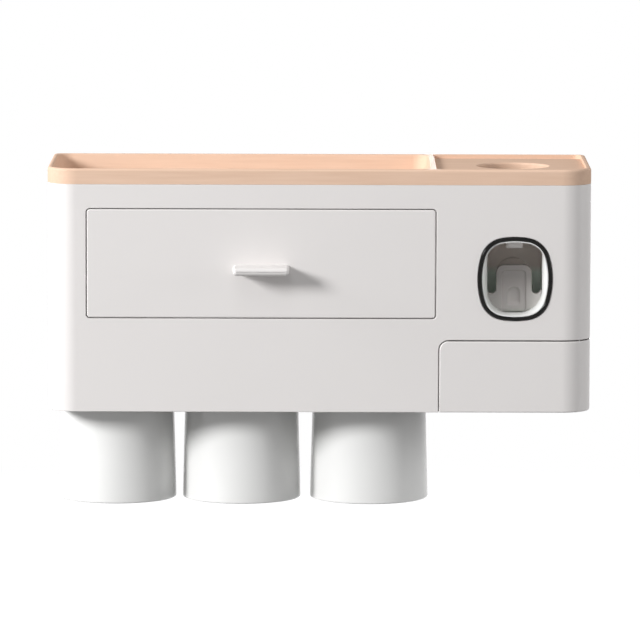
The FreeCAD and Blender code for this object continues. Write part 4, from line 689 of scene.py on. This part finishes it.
def turned(profile, middle, segments=CUP_SEGMENTS):
    """Loops of a round form about an upright axis through middle."""
    return [[(middle[0] + radius * math.cos(2 * math.pi * s / segments),
              middle[1] + radius * math.sin(2 * math.pi * s / segments), height) for s in range(segments)]
            for radius, height in profile]


for side in ("left", "middle", "right"):
    low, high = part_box(f"cup_{side}")
    mouth_radius = (high.x - low.x) / 2
    foot_radius = mouth_radius - CUP_DRAFT
    inner_foot = foot_radius - CUP_WALL
    inner_top = high.z - CUP_BASE
    profile = [(SEAT_RADIUS, high.z - SEAT_DEPTH), (SEAT_RADIUS, high.z)]
    profile += arc((foot_radius - CUP_FOOT_ROUND, high.z - CUP_FOOT_ROUND), CUP_FOOT_ROUND, 90, 0, steps=8)
    profile += arc((mouth_radius - CUP_LIP, low.z + CUP_LIP), CUP_LIP, 0, -90, steps=5)
    profile += arc((mouth_radius - CUP_WALL + CUP_LIP, low.z + CUP_LIP), CUP_LIP, -90, -180, steps=5)
    inner_round = (inner_foot - CUP_FOOT_ROUND, inner_top - CUP_FOOT_ROUND)
    profile += arc(inner_round, CUP_FOOT_ROUND, 0, 90, steps=8)
    cup_form = lofted(turned(profile, ((low.x + high.x) / 2, (low.y + high.y) / 2)))
    cup_mesh = finished(f"tumbler_{side}", cup_form, degrees=50)
    even(shown(f"tumbler_{side}", cup_mesh, white_gloss, f"{side}_cup", "white_gloss", f"cup_{side}"))

# Top tray: peach moulding with a faint printed wood grain, its rim sitting on the case and its
# long well, divider and tube deck sunk inside; the divider's crown is rubbed to a soft gloss.
TRAY_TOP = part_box("top_tray")[1].z
RIDGE_X = 67.5 * MM
RIDGE_HALF = 5.0 * MM
RIDGE_POLISH = 1.4 * MM
RIDGE_GLOSS = 0.5
peach_satin, peach_shader, peach_place = new_finish(
    "peach_satin", Specular_IOR_Level=0.0, Coat_Roughness=0.4)
streak = grain(peach_place, 900.0, 3.0, (0.03, 0.6, 0.6))
band = grain(peach_place, 160.0, 4.0, (0.05, 0.8, 0.8))
peach_fine = grain(peach_place, 2600.0, 2.0)
aside = peach_place.node("ShaderNodeSeparateXYZ", None, {0: peach_place}, output=0) - RIDGE_X
aside = aside.math("ABSOLUTE", aside, 0.0)
near_ridge = aside.node(
    "ShaderNodeMapRange", {"clamp": True},
    {0: aside, 1: RIDGE_HALF, 2: RIDGE_HALF / 2, 3: 0.0, 4: 1.0})
ridge_crown = up_between(peach_place, TRAY_TOP - RIDGE_POLISH, TRAY_TOP - RIDGE_POLISH / 3)
drive(
    peach_shader,
    Base_Color=(streak * 0.6 + band * 0.4).tint((0.67, 0.45, 0.32), (0.85, 0.625, 0.49)),
    Roughness=streak.between(0.56, 0.70),
    Coat_Weight=near_ridge * ridge_crown * RIDGE_GLOSS,
    Normal=(peach_fine + streak * 0.8).bump(0.06),
)


def dress(material, *names):
    """Give CAD nodes that show as they are a finish of their own."""
    for name in names:
        mesh = frame["nodes"][name].data
        mesh.materials.clear()
        mesh.materials.append(material)


dress(peach_satin, "top_tray")

# Inside of the case: white moulded frame with its shelf and partition, the back panel, the brush
# comb and the caps over the magnets, screwed and snapped together behind the front, and the
# wall bracket that the back hooks onto.
dress(white_satin, "inner_frame", "back_panel", "brush_rack", "magnet_caps", "wall_bracket")

# Drawer box: thin white tub with rounded corners, a rounded rim and a filleted floor, screwed
# to the back of the drawer front.
BOX_LOW, BOX_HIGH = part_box("drawer_box")
BOX_WALL = 1.8 * MM
BOX_CORNER = 4.0 * MM
BOX_FRONT_CORNER = 2.3 * MM
BOX_RIM = 0.7 * MM
BOX_FILLET = 2.0 * MM


def box_loop(inset, z):
    """The drawer box's outline at a height, moved in by inset."""
    rear, front = BOX_CORNER - inset, BOX_FRONT_CORNER - inset
    return [(p.x, p.y, z) for p in rounded([
        (BOX_LOW.x + inset, BOX_LOW.y + inset, front), (BOX_HIGH.x - inset, BOX_LOW.y + inset, front),
        (BOX_HIGH.x - inset, BOX_HIGH.y - inset, rear), (BOX_LOW.x + inset, BOX_HIGH.y - inset, rear)])]


box_section = [(BOX_RIM, BOX_LOW.z), (0.0, BOX_LOW.z + BOX_RIM)]
rim_middle = (0.0, BOX_HIGH.z - BOX_RIM)
box_floor = BOX_LOW.z + BOX_WALL
box_section += [(BOX_RIM - r, z) for r, z in arc(rim_middle, BOX_RIM, 0, 90)]
box_section += [(BOX_WALL - BOX_RIM - r, z) for r, z in arc(rim_middle, BOX_RIM, 90, 180)]
box_section += [(BOX_WALL, box_floor + BOX_FILLET / 2), (BOX_WALL + BOX_RIM / 2, box_floor)]
box_form = lofted([box_loop(inset, z) for inset, z in box_section])
box_mesh = finished("drawer_tub", box_form)
even(shown("drawer_tub", box_mesh, white_satin, "drawer", "white_plastic", "drawer_box"))

# Screws: zinc-plated steel pan heads with a cross recess, driven into moulded bosses. Each
# group's places are the corners of the box that its heads fill.
SCREW_HEAD_RADIUS = 2.9 * MM
SCREW_HEAD = 1.8 * MM
SCREW_RADIUS = 1.5 * MM
RECESS_REACH = 1.55 * MM
RECESS_DEPTH = 1.0 * MM
RECESS_FLARE = math.radians(15)
HEAD_SHARES = ((0.72, -1.0), (0.9, -0.88), (1.0, -0.6), (1.0, 0.0))
SCREW_SEGMENTS = 48
zinc, zinc_shader, zinc_place = new_finish("zinc_plate", Metallic=1.0)
zinc_cloud = grain(zinc_place, 420.0, 4.0)
zinc_scratch = grain(zinc_place, 2400.0, 3.0, (0.2, 1.0, 1.0))
drive(
    zinc_shader,
    Base_Color=zinc_cloud.tint((0.46, 0.47, 0.50), (0.64, 0.64, 0.65)),
    Roughness=zinc_scratch.between(0.24, 0.44),
    Normal=zinc_scratch.bump(0.08, 0.0001),
)
arm_half = RECESS_REACH * math.tan(RECESS_FLARE)
recess = [Vector(p) for p in (
    (RECESS_REACH, -arm_half), (RECESS_REACH, arm_half), (arm_half, arm_half), (arm_half, RECESS_REACH),
    (-arm_half, RECESS_REACH), (-arm_half, arm_half), (-RECESS_REACH, arm_half), (-RECESS_REACH, -arm_half),
    (-arm_half, -arm_half), (-arm_half, -RECESS_REACH), (arm_half, -RECESS_REACH), (arm_half, -arm_half))]
rays = [Vector((math.cos(2 * math.pi * s / SCREW_SEGMENTS), math.sin(2 * math.pi * s / SCREW_SEGMENTS)))
        for s in range(SCREW_SEGMENTS)]


def screw_form(length):
    """Screw about the Z axis, its shank up from the origin and its head below."""
    loops = [[(p.x, p.y, RECESS_DEPTH - SCREW_HEAD) for p in (meet(recess, ray) for ray in rays)]]
    loops.append([(x, y, -SCREW_HEAD) for x, y, z in loops[0]])
    profile = [(SCREW_HEAD_RADIUS * r, SCREW_HEAD * h) for r, h in HEAD_SHARES]
    profile += [(SCREW_RADIUS, 0.0), (SCREW_RADIUS, length - SCREW_RADIUS), (SCREW_RADIUS / 3, length)]
    return lofted(loops + turned(profile, (0.0, 0.0), SCREW_SEGMENTS))


SCREW_GROUPS = {
    "back_panel_screws": "case", "brush_rack_screws": "case", "pump_cover_screws": "case",
    "handle_screws": "drawer", "drawer_screws": "drawer", "pump_screws": "case",
}
for name, body in SCREW_GROUPS.items():
    low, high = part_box(name)
    upright_screws = name == "pump_screws"
    span = high.z - low.z if upright_screws else high.y - low.y
    columns = (low.x + SCREW_HEAD_RADIUS, high.x - SCREW_HEAD_RADIUS)
    rows = sorted({round(low.z + SCREW_HEAD_RADIUS, 6), round(high.z - SCREW_HEAD_RADIUS, 6)})
    if upright_screws:
        turn = Matrix.Identity(4)
        seats = [(x, (low.y + high.y) / 2, low.z + SCREW_HEAD) for x in columns]
    else:
        turn = Matrix.Rotation(math.pi / 2, 4, "X")
        seats = [(x, high.y - SCREW_HEAD, z) for x in columns for z in rows]
    forms = []
    for place in seats:
        form = screw_form(span - SCREW_HEAD)
        bmesh.ops.transform(form, matrix=Matrix.Translation(place) @ turn, verts=form.verts)
        forms.append(form)
    shown(name.replace("screws", "fixings"), joined(name, forms), zinc, body, "steel", name)

# Pins, magnets and keepers: ground steel rod pressed into the lugs, plated magnets let into the
# bosses and round steel discs let into the cup bases; all are used as they come.
dress(zinc, "lever_pin", "cover_hinge_pins", "cup_magnets", "keeper_left", "keeper_middle", "keeper_right")

# Pump: grey-brown block behind the window with the lever's cavity, its rear cover, the piston
# and the flat paste outlet under its roof; screwed to the shelf from below.
# Painted light on the pump's plastic: it is coloured pale so that the deep, shaded cavity reads grey-brown, and
# paler toward the bottom to lift the shade in the slots beside the lever's foot. The green at the bottom is the
# smoky plastic's own tint. The piston takes the same colour.
CAVITY_TOP = WINDOW_Z + 4.0 * MM
CAVITY_LOW = WINDOW_Z - 0.5 * MM
smoke, smoke_shader, smoke_place = new_finish("pump_smoke_painted_light", Specular_IOR_Level=0.3)
smoke_painted_light = up_between(smoke_place, CAVITY_LOW, CAVITY_TOP)
smoke_cloud = grain(smoke_place, 60.0)
smoke_fine = grain(smoke_place, 2200.0, 2.0)
drive(
    smoke_shader,
    Base_Color=(smoke_painted_light * 0.9 + smoke_cloud * 0.1).tint((0.80, 0.90, 0.83), (0.76, 0.685, 0.65)),
    Roughness=smoke_cloud.between(0.5, 0.62),
    Normal=smoke_fine.bump(0.06),
)
dress(smoke, "pump_body", "pump_cover")
dress(moulded("nozzle_satin", (0.80, 0.77, 0.765), 0.42), "paste_nozzle")


def lay_along_depth(form, x, z):
    """Turn a form about the Z axis so that its axis runs back to front through (x, z)."""
    for vert in form.verts:
        vert.co = (x + vert.co.x, vert.co.z, z + vert.co.y)
    return form


PISTON_LOW, PISTON_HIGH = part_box("piston")
SEAL_LOW, SEAL_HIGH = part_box("piston_seal")
PISTON_Z = (PISTON_LOW.z + PISTON_HIGH.z) / 2
ROD_RADIUS = 6.0 * MM
ROD_NOSE = 5.4 * MM
DISC_RADIUS = (PISTON_HIGH.x - PISTON_LOW.x) / 2
DISC_THICK = 6.6 * MM
DISC_FRONT = PISTON_HIGH.y - DISC_THICK
DISC_EDGE = 0.2 * MM
SKIRT_PROUD = 0.1 * MM
RING_RADIUS = (SEAL_HIGH.x - SEAL_LOW.x) / 2
SKIRT_RADIUS = RING_RADIUS + SKIRT_PROUD
GROOVE_RADIUS = DISC_RADIUS - 1.4 * MM
PUMP_SEGMENTS = 64
piston_profile = arc((ROD_RADIUS - ROD_NOSE, PISTON_LOW.y + ROD_NOSE), ROD_NOSE, -90, 0, steps=10)
piston_profile += [(ROD_RADIUS, DISC_FRONT)]
piston_profile += arc((SKIRT_RADIUS - DISC_EDGE, DISC_FRONT + DISC_EDGE), DISC_EDGE, -90, 0)
piston_profile += [(SKIRT_RADIUS, SEAL_LOW.y), (GROOVE_RADIUS, SEAL_LOW.y)]
piston_profile += [(GROOVE_RADIUS, SEAL_HIGH.y), (DISC_RADIUS, SEAL_HIGH.y), (DISC_RADIUS, PISTON_HIGH.y)]
piston_turned = turned(piston_profile, (0.0, 0.0), PUMP_SEGMENTS)
piston_form = lay_along_depth(lofted(piston_turned), WINDOW_X, PISTON_Z)
shown("plunger_body", finished("plunger_body", piston_form), smoke, "plunger", "grey_plastic", "piston")

# Soft pump pieces: milky white silicone, moulded as rings and pressed into their seats; the
# bellows behind the piston is a folded sleeve.
silicone, silicone_shader, silicone_place = new_finish("silicone", Specular_IOR_Level=0.4)
silicone_cloud = grain(silicone_place, 90.0)
silicone_dust = grain(silicone_place, 1500.0, 4.0)
drive(
    silicone_shader,
    Base_Color=silicone_cloud.tint((0.60, 0.60, 0.57), (0.72, 0.72, 0.69)),
    Roughness=silicone_dust.between(0.48, 0.66),
    Normal=silicone_dust.bump(0.08),
)
SEAL_SKIN = 0.9 * MM
SEAL_BORE = 6.5 * MM
LIP_FLARE = 3 * SEAL_SKIN
LIP_TURN = 160
VALVE_BORE = 1.5 * MM
FOLDS = 6
FOLD_DEPTH = 1.8 * MM
FOLD_STEPS = 8
RING_EDGE = 0.4 * MM


def soft_ring(inner, outer, low, high, edge):
    """Closed profile of a ring with rounded edges."""
    points = arc((outer - edge, low + edge), edge, -90, 0)
    points += arc((outer - edge, high - edge), edge, 0, 90)
    points += arc((inner + edge, high - edge), edge, 90, 180)
    return points + arc((inner + edge, low + edge), edge, 180, 270)


low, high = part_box("tube_seal")
middle = ((low.x + high.x) / 2, (low.y + high.y) / 2)
seal_radius = (high.x - low.x) / 2
seal_profile = arc((seal_radius - SEAL_SKIN, low.z + SEAL_SKIN), SEAL_SKIN, -90, 0)
seal_profile += arc((seal_radius - SEAL_SKIN, high.z - SEAL_SKIN), SEAL_SKIN, 0, 90)
seal_profile += arc((SEAL_BORE + LIP_FLARE, high.z - SEAL_SKIN), SEAL_SKIN, 90, LIP_TURN)
seal_profile += arc((SEAL_BORE, low.z + SEAL_SKIN), SEAL_SKIN, LIP_TURN, 270)
seal_mesh = finished("neck_seal", lofted(turned(seal_profile, middle), closed=True))
shown("neck_seal", seal_mesh, silicone, "case", "silicone", "tube_seal")
low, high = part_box("inlet_valve")
valve_profile = soft_ring(VALVE_BORE, (high.x - low.x) / 2, low.z, high.z, RING_EDGE)
valve_mesh = finished("valve_ring", lofted(turned(valve_profile, middle), closed=True))
shown("valve_ring", valve_mesh, silicone, "case", "silicone", "inlet_valve")
ring_profile = soft_ring(GROOVE_RADIUS, RING_RADIUS, SEAL_LOW.y, SEAL_HIGH.y, RING_EDGE)
ring_form = lay_along_depth(lofted(turned(ring_profile, (0.0, 0.0)), closed=True), WINDOW_X, PISTON_Z)
shown("plunger_ring", finished("plunger_ring", ring_form), silicone, "plunger", "silicone", "piston_seal")
low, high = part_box("pump_bellows")
bellows_radius = (high.x - low.x) / 2
bellows_length = high.y - low.y
bellows_profile = []
for step in range(FOLDS * FOLD_STEPS + 1):
    wave = (1 + math.cos(2 * math.pi * step / FOLD_STEPS)) / 2
    along = bellows_length * step / (FOLDS * FOLD_STEPS)
    bellows_profile.append((bellows_radius - FOLD_DEPTH * (1 - wave), low.y + along))
bellows_profile += [(radius - SEAL_SKIN, y) for radius, y in reversed(bellows_profile)]
bellows_form = lofted(turned(bellows_profile, (0.0, 0.0), PUMP_SEGMENTS), closed=True)
bellows_form = lay_along_depth(bellows_form, WINDOW_X, (low.z + high.z) / 2)
bellows_mesh = finished("bellows_sleeve", bellows_form)
bellows = shown("bellows_sleeve", bellows_mesh, silicone, "case", "silicone", "pump_bellows")
joints = frame["record"]["behaviour"]["joints"]
PLUNGER_TRAVEL = next(j["range_m"][1] for j in joints if j["name"] == "plunger_slide")
1 - PLUNGER_TRAVEL / (high.y - low.y)
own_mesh(bellows)

# Adhesive pad: white acrylic foam tape with a fine open-cell surface and die-cut round corners,
# stuck to the middle of the wall bracket.
PAD_LOW, PAD_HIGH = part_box("adhesive_pad")
PAD_CORNER = 1.5 * MM
PAD_EDGE = 0.2 * MM
foam, foam_shader, foam_place = new_finish("foam_tape", Specular_IOR_Level=0.2)
foam_cells = foam_place.node("ShaderNodeTexVoronoi", None, {"Vector": foam_place, "Scale": 2200.0})
foam_cloud = grain(foam_place, 120.0)
drive(
    foam_shader,
    Base_Color=foam_cloud.tint((0.70, 0.70, 0.69), (0.80, 0.80, 0.79)),
    Roughness=foam_cells.between(0.75, 0.9),
    Normal=foam_cells.bump(0.3),
)
pad_outline = rounded([
    (PAD_LOW.x, PAD_LOW.z, PAD_CORNER), (PAD_HIGH.x, PAD_LOW.z, PAD_CORNER),
    (PAD_HIGH.x, PAD_HIGH.z, PAD_CORNER), (PAD_LOW.x, PAD_HIGH.z, PAD_CORNER)])
pad_form = upright(sheet([pad_outline], PAD_HIGH.y - PAD_LOW.y, PAD_EDGE), PAD_LOW.y)
shown("tape_pad", finished("tape_pad", pad_form), foam, "case", "adhesive", "adhesive_pad")

# Floor: a pale studio floor well below the hanging object. It keeps the shadow near the object
# and fades to the white of the sky round it, so that only the object stands out.
FLOOR_Z = -0.40
FLOOR_HALF = 12.0
FLOOR_NEAR = 1.0
FLOOR_FAR = 1.8
FLOOR_GLOW = 0.62
floor_form = bmesh.new()
bmesh.ops.create_grid(floor_form, x_segments=1, y_segments=1, size=FLOOR_HALF)
floor_mesh = bpy.data.meshes.new("floor")
floor_form.to_mesh(floor_mesh)
floor_form.free()
floor = bpy.data.objects.new("floor", floor_mesh)
floor.location.z = FLOOR_Z
bpy.context.scene.collection.objects.link(floor)
floor_paint, floor_shader, floor_place = new_finish("floor_paint", Roughness=0.8, Emission_Strength=1.0)


def seen_rays(tree):
    """1 for rays that show the backdrop, straight, mirrored or through glass; 0 for those that light."""
    rays = tree.nodes.new("ShaderNodeLightPath").outputs
    straight = Wire(tree, rays["Is Camera Ray"])
    mirrored = Wire(tree, rays["Is Glossy Ray"])
    through = Wire(tree, rays["Is Transmission Ray"])
    return straight.math("MAXIMUM", straight, straight.math("MAXIMUM", mirrored, through))


floor_seen = seen_rays(floor_paint.node_tree)
floor_reach = floor_place.node("ShaderNodeVectorMath", {"operation": "LENGTH"}, {0: floor_place}, output=1)
floor_far = floor_reach.node("ShaderNodeMapRange", {"clamp": True, "interpolation_type": "SMOOTHSTEP"}, {
    0: floor_reach, 1: FLOOR_NEAR, 2: FLOOR_FAR, 3: 0.0, 4: 1.0})
drive(
    floor_shader,
    Base_Color=floor_seen.tint((0.2, 0.2, 0.2), (0.85, 0.85, 0.85)),
    Emission_Color=floor_seen.tint((0, 0, 0), (FLOOR_GLOW, FLOOR_GLOW, FLOOR_GLOW)),
)
floor_tree = floor_paint.node_tree
floor_white = floor_place.node("ShaderNodeEmission", None, {"Color": (1, 1, 1, 1), "Strength": 1.0})
floor_lit = Wire(floor_tree, floor_shader.outputs[0])
floor_mixed = floor_place.node(
    "ShaderNodeMixShader", None, {0: floor_seen * floor_far, 1: floor_lit, 2: floor_white})
floor_tree.links.new(floor_mixed.socket, floor_tree.nodes["Material Output"].inputs["Surface"])
floor_mesh.materials.append(floor_paint)

# Sky and lamps: an even white sky, a key and a broad side lamp from the left, a weak one from
# above, a fill from the right, and one low behind that lights the back and the divider's crown.
SKY_LIGHT = 0.35
world = bpy.data.worlds.new("studio")
world.use_nodes = True
bpy.context.scene.world = world
sky = world.node_tree
sky.nodes["Background"].inputs["Color"].default_value = (1, 1, 1, 1)
sky.nodes["Background"].inputs["Strength"].default_value = SKY_LIGHT
sky_lit = Wire(sky, sky.nodes["Background"].outputs[0])
sky_white = sky_lit.node("ShaderNodeBackground", None, {"Color": (1, 1, 1, 1), "Strength": 1.0})
sky_mixed = sky_lit.node("ShaderNodeMixShader", None, {0: seen_rays(sky), 1: sky_lit, 2: sky_white})
sky.links.new(sky_mixed.socket, sky.nodes["World Output"].inputs["Surface"])
LAMP_TARGET = Vector((0, -0.05, 0))


def lamp(name, turn, rise, distance, size, power):
    """Disc lamp aimed at the case; turn to the left of the front and rise above level in degrees."""
    light = bpy.data.lights.new(name, "AREA")
    light.shape = "DISK"
    light.size = size
    light.energy = power
    made = bpy.data.objects.new(name, light)
    turn, rise = math.radians(turn), math.radians(rise)
    away = Vector((-math.sin(turn) * math.cos(rise), -math.cos(turn) * math.cos(rise), math.sin(rise)))
    made.location = LAMP_TARGET + away * distance
    made.rotation_euler = (-away).to_track_quat("-Z", "Y").to_euler()
    bpy.context.scene.collection.objects.link(made)


lamp("key", turn=55, rise=19, distance=3.0, size=0.8, power=87.0)
lamp("side", turn=85, rise=22, distance=4.0, size=1.4, power=44.0)
lamp("top", turn=12, rise=48, distance=3.0, size=1.4, power=8.0)
lamp("fill", turn=-84, rise=10, distance=4.0, size=1.6, power=45.0)
lamp("rear", turn=186, rise=4, distance=4.0, size=1.6, power=48.0)

# Camera: a long lens straight in front of the object and a little above it, tipped down to the
# case, with its focal length given in pixels of the picture.
CAMERA_PLACE = Vector((0.00058, -3.600, 0.36982))
CAMERA_PITCH = math.radians(6.702)
CAMERA_ROLL = math.radians(0.161)
FOCAL_PIXELS = 5953.6
FRAME_PIXELS = 640.0
lens = bpy.data.cameras.new("camera")
lens.sensor_width = 36.0
lens.sensor_fit = "HORIZONTAL"
lens.lens = FOCAL_PIXELS / FRAME_PIXELS * lens.sensor_width
lens.clip_end = 60.0
camera = bpy.data.objects.new("camera", lens)
camera.location = CAMERA_PLACE
camera.rotation_euler = (math.pi / 2 - CAMERA_PITCH, 0, 0)
camera.rotation_euler.rotate_axis("Z", CAMERA_ROLL)
bpy.context.scene.collection.objects.link(camera)
bpy.context.scene.camera = camera
bpy.context.scene.view_settings.view_transform = "Standard"

bpy.context.view_layer.update()
